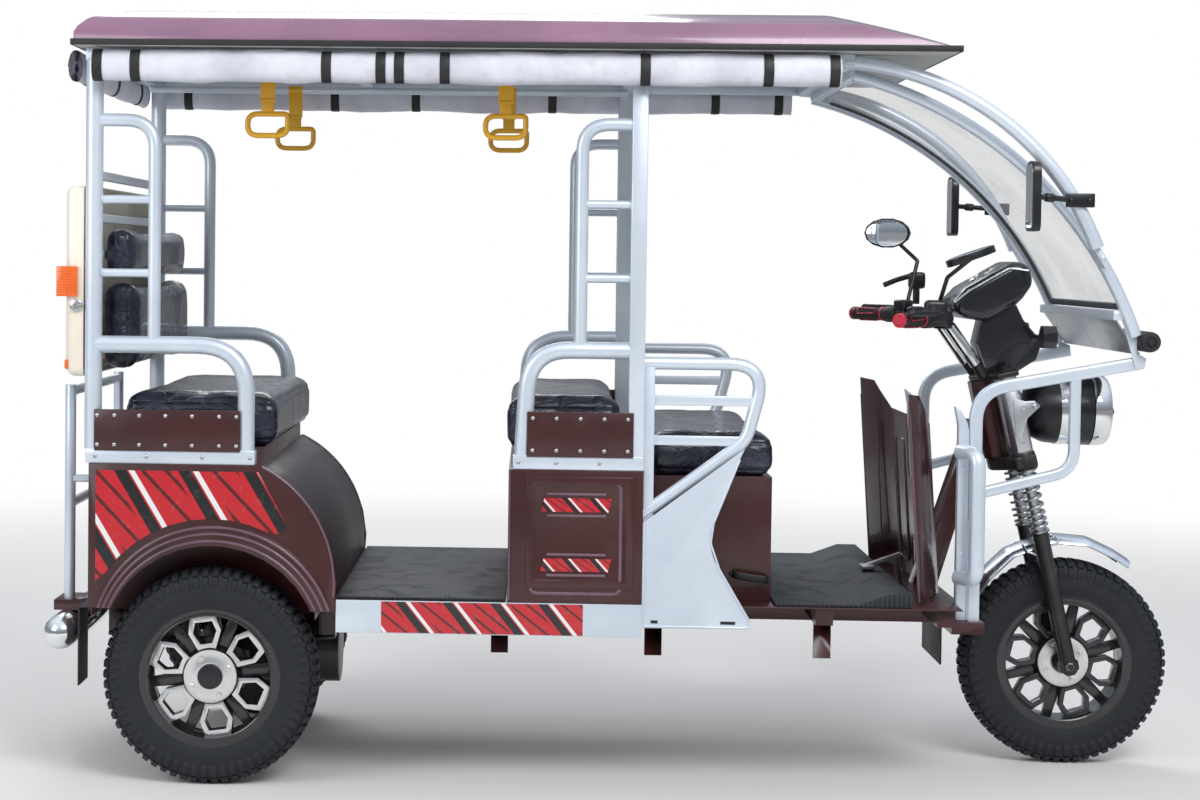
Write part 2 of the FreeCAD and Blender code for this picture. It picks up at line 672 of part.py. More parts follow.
def mid_side_frame():
    """The right middle frame, facing the other way, with a square pillar."""
    y = -FRAME_Y
    base_top = DECK_TOP + BASE_RAIL_HEIGHT
    base = box((700.0, 1001.0), (y - PILLAR_R, y + PILLAR_R), (DECK_TOP, base_top))
    pillar = box((MID_PILLAR_X - PILLAR_R, MID_PILLAR_X + PILLAR_R - 4.0), (y - PILLAR_R, y + PILLAR_R),
                 (base_top - 1.0, ROOF_RAIL_BOTTOM))
    hoop_x = 852.0
    hoop = bent_tube(((MID_PILLAR_X, y, HOOP_TOP), (hoop_x, y, HOOP_TOP), (hoop_x, y, ARMREST_HEIGHT)),
                     HOOP_R, HOOP_BEND, sides=SMALL_SIDES)
    armrest = bent_tube(((MID_PILLAR_X, y, ARMREST_HEIGHT), (735.0, y, ARMREST_HEIGHT),
                         (722.0, y, base_top - 1.0)), ARMREST_R,
                       MID_ARMREST_BEND_SHARE * (ARMREST_HEIGHT - base_top))
    rungs = [rod((MID_PILLAR_X, y, z), (hoop_x, y, z), RUNG_R, SMALL_SIDES) for z in RUNG_HEIGHTS]
    return fused([base, pillar, hoop, armrest, driver_loop()] + rungs)


LOOP_TOP = 1000.0
LOOP_FRONT = (1283.0, 1236.0)
LOOP_WAIST = 822.0
LOOP_FOOT = 626.0
LOOP_BEND = 78.0
LOOP_POST = 24.0
LOOP_BAR_HALF = 6.0
LOOP_BARS = ((1268.0, (903.0, 926.0)), (1232.0, (811.0, 833.0)))
REAR_PLATE = (-271.0, 69.0, 781.0, 877.0)
MID_PLATE = (732.0, 977.0, 781.0, 885.0)


def side_skin(limits):
    """A thin plate riveted to the outside of the right side frame."""
    x_low, x_high, z_low, z_high = limits
    y = -FRAME_Y - PILLAR_R
    return box((x_low, x_high), (y - SHEET, y), (z_low, z_high))


def driver_loop():
    """The round loop beside the driver, from the middle pillar round and back to the seat box."""
    y = -FRAME_Y
    face = MID_BOX_X[1]
    loop = bent_tube(((face - 5.0, y, LOOP_TOP), (LOOP_FRONT[0], y, LOOP_TOP), (LOOP_FRONT[1], y, LOOP_WAIST),
                      (face - 30.0, y, LOOP_FOOT)), HOOP_R, LOOP_BEND, sides=SMALL_SIDES)
    post = box((face, face + LOOP_POST), (y - LOOP_POST / 2.0, y + LOOP_POST / 2.0), (FLOOR_TOP, LOOP_TOP))
    bars = []
    for reach, z in LOOP_BARS:
        bars.append(box((face + LOOP_POST - 1.0, reach), (y - LOOP_BAR_HALF, y + LOOP_BAR_HALF), z))
    whole = fused([loop, post] + bars)
    return whole.cut(box((face - 80.0, face), (y - 40.0, y + 40.0), (500.0, 1100.0)))


# Roof

ROOF_SKIN = 4.0
ROOF_BASE = ROOF_RAIL_BOTTOM + ROOF_RAIL_HEIGHT + CEILING
ROOF_SECTION = ((515.0, 14.0), (508.0, 38.0), (498.0, 57.0), (478.0, 67.0), (420.0, 80.0), (300.0, 99.0),
                (150.0, 114.0), (0.0, ROOF_RISE))
ROOF_BACK = ((0.0, 26.0), (8.0, 40.0), (30.0, 58.0), (84.0, 88.0), (210.0, 106.0), (420.0, 115.0), (640.0, ROOF_RISE))
ROOF_NOSE = ((194.0, ROOF_RISE), (94.0, 106.0), (26.0, 78.0), (0.0, 32.0))
ROOF_TAPER = ((239.0, 505.0, 59.0), (9.0, 515.0, 6.0), (4.0, 0.0, 84.0))
TRIM = 6.0
TRIM_HEIGHT = 14.0


def roof_taper(inset):
    """The wedge that thins the right side of the roof towards its nose."""
    corners = [V(ROOF_FRONT_X - back, -y, ROOF_BASE + up - inset) for back, y, up in ROOF_TAPER]
    normal = (corners[1] - corners[0]).cross(corners[2] - corners[0])
    if normal.z < 0.0:
        normal = -normal
    normal.normalize()
    along = (corners[1] - corners[0]).normalize()
    across = normal.cross(along)
    reach = 900.0
    square = [corners[0] + along * u + across * w for u, w in ((-reach, -reach), (reach, -reach), (reach, reach),
                                                              (-reach, reach))]
    return flat_face(square).extrude(normal * reach)


def roof_form(inset):
    """The roof's solid form: a crowned section run along the vehicle, cut by the side view and the nose tapers."""
    half = [(y - inset, ROOF_BASE + up - inset) for y, up in ROOF_SECTION[:-1]]
    low = ROOF_BASE - inset
    back, front = ROOF_REAR_X + inset, ROOF_FRONT_X - inset
    right = [(-y, z) for y, z in half]
    outline = [(half[0][0], low)] + half + [(0.0, ROOF_BASE + ROOF_RISE - inset)] + right[::-1] + [(right[0][0], low)]
    section_run = flat_face([V(back, y, z) for y, z in outline]).extrude(V(front - back, 0, 0))
    side = [(back, low)] + [(back + x, ROOF_BASE + up - inset) for x, up in ROOF_BACK]
    side += [(front - x, ROOF_BASE + up - inset) for x, up in ROOF_NOSE] + [(front, low)]
    form = section_run.common(side_plate(side, -ROOF_Y, ROOF_Y))
    wedge = roof_taper(inset)
    return form.cut(wedge).cut(mirrored(wedge))


def roof_shell():
    """The crowned roof moulding, open underneath."""
    return roof_form(0.0).cut(roof_form(ROOF_SKIN))


def ceiling_panel():
    """The flat lining under the roof."""
    return box((ROOF_REAR_X, ROOF_FRONT_X), (-ROOF_Y, ROOF_Y), (ROOF_BASE - CEILING, ROOF_BASE))


def roof_trim():
    """The black rubber strip round the roof's lower edge."""
    outer = box((ROOF_REAR_X - TRIM, ROOF_FRONT_X + TRIM), (-ROOF_Y - TRIM, ROOF_Y + TRIM),
                (ROOF_BASE - CEILING, ROOF_BASE + TRIM_HEIGHT - CEILING))
    return outer.cut(box((ROOF_REAR_X, ROOF_FRONT_X), (-ROOF_Y, ROOF_Y), (1000.0, 2000.0)))


ROOF_BOWS_X = (REAR_PILLAR_X, 300.0, MID_PILLAR_X, ROOF_FRONT_X - 239.0)
BOW_HALF = 15.0
ARC_R = 16.0
SHIELD_ARC_R = 14.0
OUTER_ARC = ahead((-617.0, 1695.0), (-261.0, 1567.0), (-39.0, 1276.0))
TIE_WIDTH = 16.0
TIE_LAP = 6.0
ARC_Y = 430.0
SHIELD_ARC = ahead((-591.0, 1668.0), (-181.0, 1450.0), (68.5, 1074.0))
SHIELD_BOW_X = (ROOF_FRONT_X - 224.0, ROOF_FRONT_X - 194.0)
SHIELD_BOW_BOTTOM = 1664.0
SHIELD_BAR_X = (WHEELBASE + 17.0, WHEELBASE + 39.0)
SHIELD_BAR_Z = (1110.0, 1132.0)
GLASS = 4.0
NOSE_PLATE_FRONT = WHEELBASE + 75.0
NOSE_PLATE_Y = (357.0, 363.0)
NOSE_PLATE = ahead((39.0, 1112.0), (61.0, 1118.0), (75.0, 1100.0), (75.0, 1034.0), (97.0, 1022.0), (93.0, 1000.0),
                   (73.0, 996.0))
NOSE_BAR_R = 24.0
NOSE_BAR_Y = 392.0
SHIELD_Y = 370.0
SHIELD_REACH = 200.0
NOSE_PANEL = ahead((25.0, SHIELD_BAR_Z[0]), (81.0, 1030.0))
NOSE_BAR_Z = 1061.0


def shield_circle():
    """Centre and radius of the arc that the windscreen follows."""
    curve = Part.Arc(*(V(x, 0, z) for x, z in SHIELD_ARC)).toShape().Curve
    return curve.Center, curve.Radius


def arc_tie():
    """The right flat tie from the outer arc's lower end across to the windscreen tube."""
    centre, radius = shield_circle()
    end = V(OUTER_ARC[2][0], 0, OUTER_ARC[2][1])
    out = end - centre
    out.normalize()
    along = V(-out.z, 0, out.x) * TIE_WIDTH
    low = centre + out * (radius - TIE_LAP)
    corners = [(p.x, p.z) for p in (low, end, end + along, low + along)]
    return side_plate(corners, -ARC_Y, -SHIELD_Y - SHIELD_ARC_R)


def canopy_frame():
    """Roof rails, cross bows and the two curved tubes that run down to the nose."""
    low, high = ROOF_RAIL_BOTTOM, ROOF_RAIL_BOTTOM + ROOF_RAIL_HEIGHT
    rail = box((REAR_PILLAR_X - BOW_HALF - 5.0, SHIELD_BOW_X[0]), (-FRAME_Y - BOW_HALF, -FRAME_Y + BOW_HALF), (low, high))
    pieces = [rail, mirrored(rail)]
    for x in ROOF_BOWS_X:
        pieces.append(box((x - BOW_HALF, x + BOW_HALF), (-FRAME_Y, FRAME_Y), (low, high)))
    outer = arc_tube(*(V(x, -ARC_Y, z) for x, z in OUTER_ARC), ARC_R)
    tie = arc_tie()
    pieces += [outer, mirrored(outer), grab_rail(), mirrored(grab_rail()), tie, mirrored(tie)]
    return fused(pieces)


def windscreen_frame():
    """The inner curved tubes, their lower cross bar and the nose posts."""
    a, through, b = (V(x, -SHIELD_Y, z) for x, z in SHIELD_ARC)
    inner = arc_tube(a, through, b, SHIELD_ARC_R)
    bow = box(SHIELD_BOW_X, (-SHIELD_Y, SHIELD_Y), (SHIELD_BOW_BOTTOM, ROOF_RAIL_BOTTOM + ROOF_RAIL_HEIGHT))
    bar = box(SHIELD_BAR_X, (-SHIELD_Y, SHIELD_Y), SHIELD_BAR_Z)
    plate = side_plate(NOSE_PLATE, -NOSE_PLATE_Y[1], -NOSE_PLATE_Y[0])
    return fused([inner, mirrored(inner), bow, bar, plate, mirrored(plate)])


def windscreen():
    """The clear bent sheet between the inner tubes."""
    centre, radius = shield_circle()
    y = SHIELD_Y - SHIELD_ARC_R - SEAT_GAP
    disc = cylinder((centre.x, -y, centre.z), radius + GLASS / 2.0, 2.0 * y)
    bore = cylinder((centre.x, -y - 1.0, centre.z), radius - GLASS / 2.0, 2.0 * y + 2.0)
    window = box((SHIELD_BOW_X[1] + SEAT_GAP, WHEELBASE + SHIELD_REACH), (-y, y),
                 (SHIELD_BAR_Z[1] + SEAT_GAP, ROOF_RAIL_BOTTOM))
    return disc.cut(bore).common(window)


def nose_panel():
    """The pressed sheet below the windscreen, between the nose plates."""
    top, foot = NOSE_PANEL
    y = NOSE_PLATE_Y[0] - SEAT_GAP
    sheet = side_plate((top, foot, (foot[0] + SHEET, foot[1] + 2.0), (top[0] + SHEET + 1.0, top[1])), -y, y)
    return sheet


def nose_bar():
    """The black round bar across the nose, held by the nose plates."""
    x = NOSE_PLATE_FRONT + NOSE_BAR_R
    return rod((x, -NOSE_BAR_Y, NOSE_BAR_Z), (x, NOSE_BAR_Y, NOSE_BAR_Z), NOSE_BAR_R)


# Front frame below the windscreen

GUARD_Y = 345.0
GUARD_HALF = (15.0, 12.0)
GUARD_X = WHEELBASE - 289.0
GUARD_BEND_Z = 940.0
GUARD_NOSE = (WHEELBASE + 91.0, 1012.0)
BRANCH_X = WHEELBASE - 61.0
BRANCH_Z = (978.0, 758.0, 700.0)
PILLAR_X = (FLOOR_FRONT_X + SEAT_GAP, FLOOR_FRONT_X + 26.0)
PILLAR_TOP = 905.0
HANDLE_Y = 412.0
HANDLE_Z = (505.0, 798.0)
HANDLE_R = 18.0


def front_guard():
    """The right square-tube guard: up from the floor beam, forward to the nose, with its lower branch."""
    y = -GUARD_Y
    main = bent_tube(((GUARD_X, y, FRONT_BEAM_Z[1]), (GUARD_X, y, GUARD_BEND_Z), (GUARD_NOSE[0], y, GUARD_NOSE[1])),
                     GUARD_HALF[0], 85.0, half_height=GUARD_HALF[1], sides=4)
    top, bend, foot = BRANCH_Z
    branch = bent_tube(((BRANCH_X, y, top), (BRANCH_X, y, bend), (GUARD_X + 5.0, y, foot)),
                       GUARD_HALF[0] - 2.0, 55.0, half_height=GUARD_HALF[1], sides=4)
    return fused([main, branch])


def front_pillar():
    """The right flat post beside the guard, its head rounded towards the front."""
    low, high = PILLAR_X
    edges = [line((low, FRONT_BEAM_Z[1]), (high, FRONT_BEAM_Z[1])), line((high, FRONT_BEAM_Z[1]), (high, 845.0)),
             arc((high, 845.0), (high - 12.0, 884.0), (low - 8.0, PILLAR_TOP)),
             line((low - 8.0, PILLAR_TOP), (low, 860.0)), line((low, 860.0), (low, FRONT_BEAM_Z[1]))]
    return outline_plate(edges, -GUARD_Y - GUARD_HALF[1], -GUARD_Y + GUARD_HALF[1])


def step_handle():
    """The right round grab handle beside the driver's entry."""
    root_y = -GUARD_Y - GUARD_HALF[1]
    root_x, reach_x = FLOOR_FRONT_X + 6.0, FLOOR_FRONT_X + 36.0
    outward = V(reach_x - root_x, -HANDLE_Y - root_y, 0)
    normal = outward.cross(Z_AXIS)
    normal.normalize()
    low, high = HANDLE_Z
    handle = bent_tube(((root_x, root_y, high), (reach_x, -HANDLE_Y, high), (reach_x, -HANDLE_Y, low),
                        (root_x, root_y, low)), HANDLE_R, 40.0, normal=normal, sides=SMALL_SIDES)
    return handle.cut(box((reach_x - 200.0, reach_x + 200.0), (root_y, 0.0), (low - 100.0, high + 100.0)))


def front_guard_set():
    """The right guard tube, and the post beside it with its grab handle welded on."""
    return Part.makeCompound([front_guard(), fused([front_pillar(), step_handle()])])


SHIELD_LEAN = V(-34.0, 0, 492.0)
SHIELD_BRIDGE = (545.0, 700.0)
BRIDGE_REACH = 960.0
SHIELD_GAP_Y = 62.0
PEDAL_ARM_Y = (-58.0, -46.0)
PEDAL_Y = (-78.0, -26.0)
PEDAL_Z = (482.0, 490.0)
FLAP_HALF = 125.0
FLAP_BOTTOM = 257.0


def leg_shield():
    """The moulded leg shield: two panels with swept-back wings and a bridge behind the column."""
    right = ahead((-355.0, -SHIELD_GAP_Y), (-355.0, -255.0), (-377.0, -318.0), (-418.0, -372.0), (-418.0, -378.0),
                  (-412.0, -378.0), (-372.0, -322.0), (-351.0, -257.0), (-351.0, -SHIELD_GAP_Y))
    left = [(x, -y) for x, y in reversed(right)]
    corners = [V(x, y, FLOOR_TOP) for x, y in right + tuple(left)]
    panel = flat_face(corners).extrude(SHIELD_LEAN)
    bevel = side_plate(ahead((-567.0, 890.0), (-477.0, 896.0), (-455.0, 933.0), (-421.0, 927.0), (-385.0, 858.0),
                             (-267.0, 850.0), (-267.0, 990.0), (-567.0, 990.0)), -BODY_Y, BODY_Y)
    span = (FLOOR_FRONT_X - 236.0, FLOOR_FRONT_X + 64.0)
    foot_gap = box(span, (-SHIELD_GAP_Y, SHIELD_GAP_Y), (FLOOR_TOP - 1.0, SHIELD_BRIDGE[0]))
    head_gap = box(span, (-SHIELD_GAP_Y, SHIELD_GAP_Y), (SHIELD_BRIDGE[1], BRIDGE_REACH))
    return panel.cut(Part.makeCompound([bevel, foot_gap, head_gap]))


def brake_pedal():
    """The foot lever in front of the driver."""
    plate = side_plate(ahead((-501.0, 490.0), (-495.0, 482.0), (-427.0, 504.0), (-415.0, FLOOR_TOP),
                             (-403.0, FLOOR_TOP), (-411.0, 522.0)), *PEDAL_ARM_Y)
    return fused([plate, box((WHEELBASE - 507.0, WHEELBASE - 475.0), PEDAL_Y, PEDAL_Z)])


def front_mud_flap():
    """The flap behind the front wheel, hung from the floor beam."""
    return box((FLOOR_FRONT_X + 10.0, FLOOR_FRONT_X + 14.0), (-FLAP_HALF, FLAP_HALF), (FLAP_BOTTOM, FRONT_BEAM_Z[0]))


# Steered parts. They are drawn with Z on the steering axis and X square to it, then leaned back.

LEG_OUT = AXIS_SET_BACK * math.cos(RAKE)
AXLE_DOWN = AXIS_SET_BACK * math.sin(RAKE)
LEG_R = 19.0
STANCHION_R = 13.0
SHROUD_R = 22.0
COIL_R = (17.0, 24.0)
SPRING_W = (323.0, 487.0)
COIL_TURNS = 7
COIL_FACETS = 8
YOKE_LOW_W = 31.0
YOKE_TOP_W = 14.0
FENDER_R = 315.0
FENDER_HALF = 55.0
FENDER_SKIN = 2.5
FENDER_ANGLES = (57.0, 140.0)
LAMP_Z = 878.0
LAMP_X = (WHEELBASE - 112.0, WHEELBASE + 54.0, WHEELBASE + 109.0)
LAMP_R = 88.0
LAMP_FACETS = 24


def on_axis(height):
    """Distance along the steering axis for a height on it."""
    return (height - TYRE_RADIUS) / math.cos(RAKE)


def leaned(shape):
    """Lean a shape drawn upright on to the raked steering axis."""
    placed = shape.copy()
    placed.rotate(V(0, 0, 0), Y_AXIS, -math.degrees(RAKE))
    placed.translate(steering_point(TYRE_RADIUS))
    return placed


def fork_frame():
    """The two yokes, the stem between them, and the upper fork tubes with their shrouds."""
    low_top = on_axis(HEAD_TUBE_Z[0]) - FACE_GAP
    high_base = on_axis(HEAD_TUBE_Z[1]) + FACE_GAP
    reach = LEG_OUT + SHROUD_R + 4.0
    half = FORK_Y + SHROUD_R + 4.0
    outline = ((-24.0, -18.0), (LEG_OUT - SHROUD_R - 4.0, -half), (reach, -half), (reach, half),
               (LEG_OUT - SHROUD_R - 4.0, half), (-24.0, 18.0))
    low_plate = flat_face([V(x, y, low_top) for x, y in outline]).extrude(V(0, 0, -YOKE_LOW_W))
    top_plate = flat_face([V(x, y, high_base) for x, y in outline]).extrude(V(0, 0, YOKE_TOP_W))
    pieces = [low_plate, top_plate, Part.makeCylinder(STEM_R, high_base - low_top + 2.0, V(0, 0, low_top - 1.0))]
    for y in (-FORK_Y, FORK_Y):
        pieces.append(rod((LEG_OUT, y, low_top - 1.0), (LEG_OUT, y, high_base + 1.0), SHROUD_R))
        pieces.append(rod((LEG_OUT, y, SPRING_W[0]), (LEG_OUT, y, low_top - YOKE_LOW_W + 1.0), STANCHION_R))
    return leaned(fused(pieces))


def fork_legs():
    """The two black lower legs with their axle lugs."""
    legs = []
    for y in (-FORK_Y, FORK_Y):
        leg = rod((LEG_OUT, y, -AXLE_DOWN - 4.0), (LEG_OUT, y, SPRING_W[0]), LEG_R)
        lug = rod((LEG_OUT, y - 12.0, -AXLE_DOWN), (LEG_OUT, y + 12.0, -AXLE_DOWN), 24.0)
        legs.append(fused([leg, lug]))
    return fused([leaned(leg) for leg in legs] + [front_axle()])


def front_axle():
    """The front axle with its spacers and end nuts."""
    x, z = WHEELBASE, TYRE_RADIUS
    pieces = [cylinder((x, -FORK_Y - 26.0, z), FRONT_AXLE_R, 2.0 * (FORK_Y + 26.0))]
    inner = HUB_Y[1] + FACE_GAP
    spacer = rod((x, inner, z), (x, FORK_Y - 12.0, z), 14.0)
    nut = rod((x, FORK_Y + 12.0, z), (x, FORK_Y + 22.0, z), 14.0, 6)
    return fused(pieces + [spacer, mirrored(spacer), nut, mirrored(nut)])


def fork_springs():
    """The two exposed coil springs, each drawn as the sleeve that its turns fill."""
    low = SPRING_W[0] + SEAT_GAP
    high = on_axis(HEAD_TUBE_Z[0]) - FACE_GAP - YOKE_LOW_W - SEAT_GAP
    pitch = (high - low) / COIL_TURNS
    outline = [(COIL_R[0], low)]
    for k in range(COIL_TURNS):
        outline += [(COIL_R[1] - 5.0, low + pitch * k + 0.5), (COIL_R[1], low + pitch * (k + 0.5))]
    outline += [(COIL_R[1] - 5.0, high - 0.5), (COIL_R[0], high)]
    springs = []
    for y in (-FORK_Y, FORK_Y):
        sleeve = ring_of_facets(outline, COIL_FACETS)
        sleeve.rotate(V(0, 0, 0), X_AXIS, 90.0)
        sleeve.translate(V(LEG_OUT, y, 0))
        springs.append(sleeve)
    return leaned(Part.makeCompound(springs))


def front_fender():
    """The bright fender over the front wheel with its two stays."""
    start, end = (math.radians(a) for a in FENDER_ANGLES)
    middle = (start + end) / 2.0
    inner = [(WHEELBASE + FENDER_R * math.cos(a), TYRE_RADIUS + FENDER_R * math.sin(a)) for a in (start, middle, end)]
    out = FENDER_R + FENDER_SKIN
    outer = [(WHEELBASE + out * math.cos(a), TYRE_RADIUS + out * math.sin(a)) for a in (start, middle, end)]
    skin = outline_plate([arc(*inner), line(inner[2], outer[2]), arc(*outer), line(outer[0], inner[0])],
                         -FENDER_HALF, FENDER_HALF)
    stay_at = leaned(Part.Vertex(LEG_OUT, 0, 300.0)).Point
    stay = box((stay_at.x - 14.0, stay_at.x + 14.0), (FENDER_HALF - 2.0, FORK_Y - 8.0),
               (stay_at.z - 4.0, stay_at.z + 12.0))
    stay = stay.cut(fork_legs())
    return fused([skin, stay, mirrored(stay)])


def headlamp_profile(points, at_z):
    """A lamp body turned from (r, x) points about a line along X."""
    ring = ring_of_facets([(r, -x) for r, x in points], LAMP_FACETS, closed=False)
    ring.rotate(V(0, 0, 0), Z_AXIS, 90.0)
    ring.translate(V(0, 0, at_z))
    return ring


def headlamp_shell():
    """The black bowl of the headlamp."""
    back, front, _ = LAMP_X
    return headlamp_profile(((0.0, back), (42.0, back + 3.0), (70.0, back + 30.0), (84.0, back + 90.0),
                             (LAMP_R - 2.0, front), (0.0, front)), LAMP_Z)


def headlamp_bezel():
    """The bright front rim and domed lens of the headlamp."""
    _, front, nose = LAMP_X
    return headlamp_profile(((0.0, front), (LAMP_R, front), (LAMP_R, front + 22.0), (78.0, front + 34.0),
                             (52.0, nose - 5.0), (0.0, nose)), LAMP_Z)


def headlamp_ear():
    """The right ear that holds the lamp to the fork shroud."""
    ear = side_plate(ahead((-155.0, 862.0), (-137.0, 846.0), (-57.0, 852.0), (-21.0, 872.0), (-27.0, 896.0),
                           (-71.0, 908.0), (-155.0, 906.0)), -LAMP_R - 4.0, -LAMP_R + 12.0)
    return ear.cut(headlamp_shell())


def fork_yokes():
    """The steered frame with the two ears that hold the lamp welded to its shrouds."""
    ear = headlamp_ear()
    return fused([fork_frame(), ear, mirrored(ear)])


BAR_R = 11.0
BAR_END = (WHEELBASE - 475.0, 365.0, 1103.0)
BAR_CORNER = (WHEELBASE - 315.0, 150.0, 1104.0)
BAR_BEND = 60.0
RISER_FOOT = (WHEELBASE - 213.0, 960.0)
RISER_R = 13.0
GRIP_R = 17.0
GRIP_LENGTH = 122.0
POD_LENGTH = 42.0
RISER_Y = 60.0
POD_R = 22.0
MIRROR_SIDES = 14
MIRROR_HALF = (60.0, 39.0)
MIRROR_DEPTH = 16.0
STEM_WIRE_R = 5.0
MIRRORS = ((1, ahead((-319.0, 300.0, 1243.0), (-401.0, 296.0, 1315.0)), (0.93, -0.37, 0.0), (0.0, 0.0, 1.0)),
           (-1, ahead((-345.0, 258.0, 1204.0), (-300.0, 290.0, 1262.0)), (0.94, 0.0, 0.34), (0.0, 1.0, 0.0)))


def bar_line(distance):
    """The point on the right end of the handlebar at a distance from its tip."""
    end, corner = V(BAR_END[0], -BAR_END[1], BAR_END[2]), V(BAR_CORNER[0], -BAR_CORNER[1], BAR_CORNER[2])
    run = corner - end
    run.normalize()
    return end + run * distance


def handlebar():
    """The bent bar and the two risers that carry it on the top yoke."""
    tip = bar_line(GRIP_LENGTH + POD_LENGTH)
    corner = BAR_CORNER
    path = ((tip.x, tip.y, tip.z), (corner[0], -corner[1], corner[2]), corner, (tip.x, -tip.y, tip.z))
    across = V(BAR_CORNER[0] - BAR_END[0], 0, BAR_CORNER[2] - BAR_END[2])
    normal = across.cross(Y_AXIS)
    normal.normalize()
    bar = bent_tube(path, BAR_R, BAR_BEND, normal=normal, sides=SMALL_SIDES)
    risers = [rod((corner[0], y, corner[2]), (RISER_FOOT[0], y, RISER_FOOT[1]), RISER_R, SMALL_SIDES)
              for y in (-RISER_Y, RISER_Y)]
    whole = fused([bar] + risers)
    return whole.cut(fork_yokes())


def handlebar_grips():
    """The two grips with their switch pods."""
    outer, inner = bar_line(0.0), bar_line(GRIP_LENGTH)
    pod_end = bar_line(GRIP_LENGTH + POD_LENGTH)
    grip = fused([rod(tuple(outer), tuple(inner), GRIP_R), rod(tuple(inner), tuple(pod_end), POD_R)])
    return Part.makeCompound([grip, mirrored(grip)])


def bar_mirrors():
    """The two oval mirrors on their stems, set as the rider left them."""
    mirrors = []
    bar = handlebar()
    root = bar_line(GRIP_LENGTH + POD_LENGTH + 24.0)
    foot = (root.x, -root.y, root.z + flat_reach(BAR_R, SMALL_SIDES) + SEAT_GAP)
    for side, (knee, centre), length, width in MIRRORS:
        middle = V(centre[0], side * centre[1], centre[2])
        long_way, short_way = V(*length) * MIRROR_HALF[0], V(*width) * MIRROR_HALF[1]
        turns = [2.0 * math.pi * k / MIRROR_SIDES for k in range(MIRROR_SIDES)]
        outline = [middle + long_way * math.cos(t) + short_way * math.sin(t) for t in turns]
        depth = V(*length).cross(V(*width))
        depth.normalize()
        if depth.y * side < 0.0 or depth.z > 0.5:
            depth = -depth
        head = flat_face(outline).extrude(depth * MIRROR_DEPTH)
        back = middle + depth * (MIRROR_DEPTH - 3.0)
        elbow = (knee[0], side * knee[1], knee[2])
        stem = rod((foot[0], side * foot[1], foot[2]), elbow, STEM_WIRE_R, SMALL_SIDES)
        arm = rod(elbow, tuple(back), STEM_WIRE_R, SMALL_SIDES)
        mirrors.append(fused([head, stem, arm]).cut(bar))
    return Part.makeCompound(mirrors)


POD_OUTLINE = ahead((-305.0, 1136.0), (-267.0, 1178.0), (-151.0, 1246.0), (-113.0, 1236.0), (-103.0, 1190.0),
                    (-137.0, 1140.0), (-217.0, 1096.0), (-277.0, 1104.0))
POD_HALF = 96.0
NACELLE = ahead((-217.0, 1096.0), (-137.0, 1140.0), (-117.0, 1100.0), (-71.0, 1046.0), (-85.0, 1002.0),
                (-137.0, 968.0), (-197.0, 955.0), (-229.0, 1040.0))
NACELLE_HALF = 46.0
TURN_LAMP = ahead((-97.0, -150.0, 1062.0), (-63.0, -150.0, 1062.0))
TURN_LAMP_R = 28.0
STALK = ahead((-92.0, -40.0, 1060.0), (-82.0, -130.0, 1062.0))
STALK_R = 6.0


def instrument_pod():
    """The dark instrument housing above the headlamp."""
    return side_plate(POD_OUTLINE, -POD_HALF, POD_HALF)


def nacelle():
    """The faceted cover between the instrument pod and the top yoke."""
    cover = side_plate(NACELLE, -NACELLE_HALF, NACELLE_HALF)
    stalk = rod(*STALK, STALK_R, SMALL_SIDES)
    lamp = rod(*TURN_LAMP, TURN_LAMP_R)
    whole = fused([cover, stalk, mirrored(stalk), lamp, mirrored(lamp)])
    return whole.cut(fork_yokes()).cut(handlebar()).cut(headlamp_shell())


# Rear body details

PANEL_FRONT_X = REAR_PILLAR_X - flat_reach(PILLAR_R) - SEAT_GAP
PANEL_BACK_X = -346.0
PANEL_Y = 432.0
PANEL_Z = (951.0, 1396.0)
PANEL_SKIN = 4.0
TAIL_LAMP_DEPTH = 18.0
TAIL_LAMP_SIDE = 8.0
TAIL_LAMP_INNER_Y = -380.0
TAIL_LAMP_FRONT_X = -315.0
TAIL_LAMP_Z = (1137.0, 1207.0)


def tail_panel_outline(inset):
    """Edges round the side view of the bulged rear panel."""
    low, high = PANEL_Z
    back, front = PANEL_BACK_X + inset, PANEL_FRONT_X
    low, high = low + inset, high - inset
    return [line((front, low), (back + 24.0, low)),
            arc((back + 24.0, low), (back + 8.0, low + 20.0), (back, low + 56.0)),
            line((back, low + 56.0), (back, high - 56.0)),
            arc((back, high - 56.0), (back + 8.0, high - 20.0), (back + 26.0, high)),
            line((back + 26.0, high), (front, high)), line((front, high), (front, low))]


def tail_panel():
    """The bulged rear panel behind the backrest, hollow towards the cabin."""
    outer = outline_plate(tail_panel_outline(0.0), -PANEL_Y, PANEL_Y)
    inner = outline_plate(tail_panel_outline(PANEL_SKIN), -PANEL_Y + PANEL_SKIN, PANEL_Y - PANEL_SKIN)
    return outer.cut(inner)


def rear_lamps():
    """The two tail lamps, each wrapped round a corner of the rear panel."""
    outside = -PANEL_Y - SEAT_GAP
    back = box((PANEL_BACK_X - TAIL_LAMP_DEPTH, PANEL_BACK_X - SEAT_GAP), (outside - TAIL_LAMP_SIDE, TAIL_LAMP_INNER_Y), TAIL_LAMP_Z)
    side = box((PANEL_BACK_X - 1.0, TAIL_LAMP_FRONT_X), (outside - TAIL_LAMP_SIDE, outside), TAIL_LAMP_Z)
    lamp = fused([back, side])
    return Part.makeCompound([lamp, mirrored(lamp)])


BACK_BAR_X = (-288.0, -268.0)
BACK_BARS_Z = (1000.0, 1225.0, 1310.0, 1410.0)


def rear_frame():
    """Both rear side frames with the square bars between their pillars that carry the backrest."""
    bars = [box(BACK_BAR_X, (-FRAME_Y, FRAME_Y), (z, z + 20.0)) for z in BACK_BARS_Z]
    side = rear_side_frame()
    return fused([side, mirrored(side)] + bars)


BUMPER_R = 40.0
BUMPER_FACETS = 16
BUMPER_X = -358.0


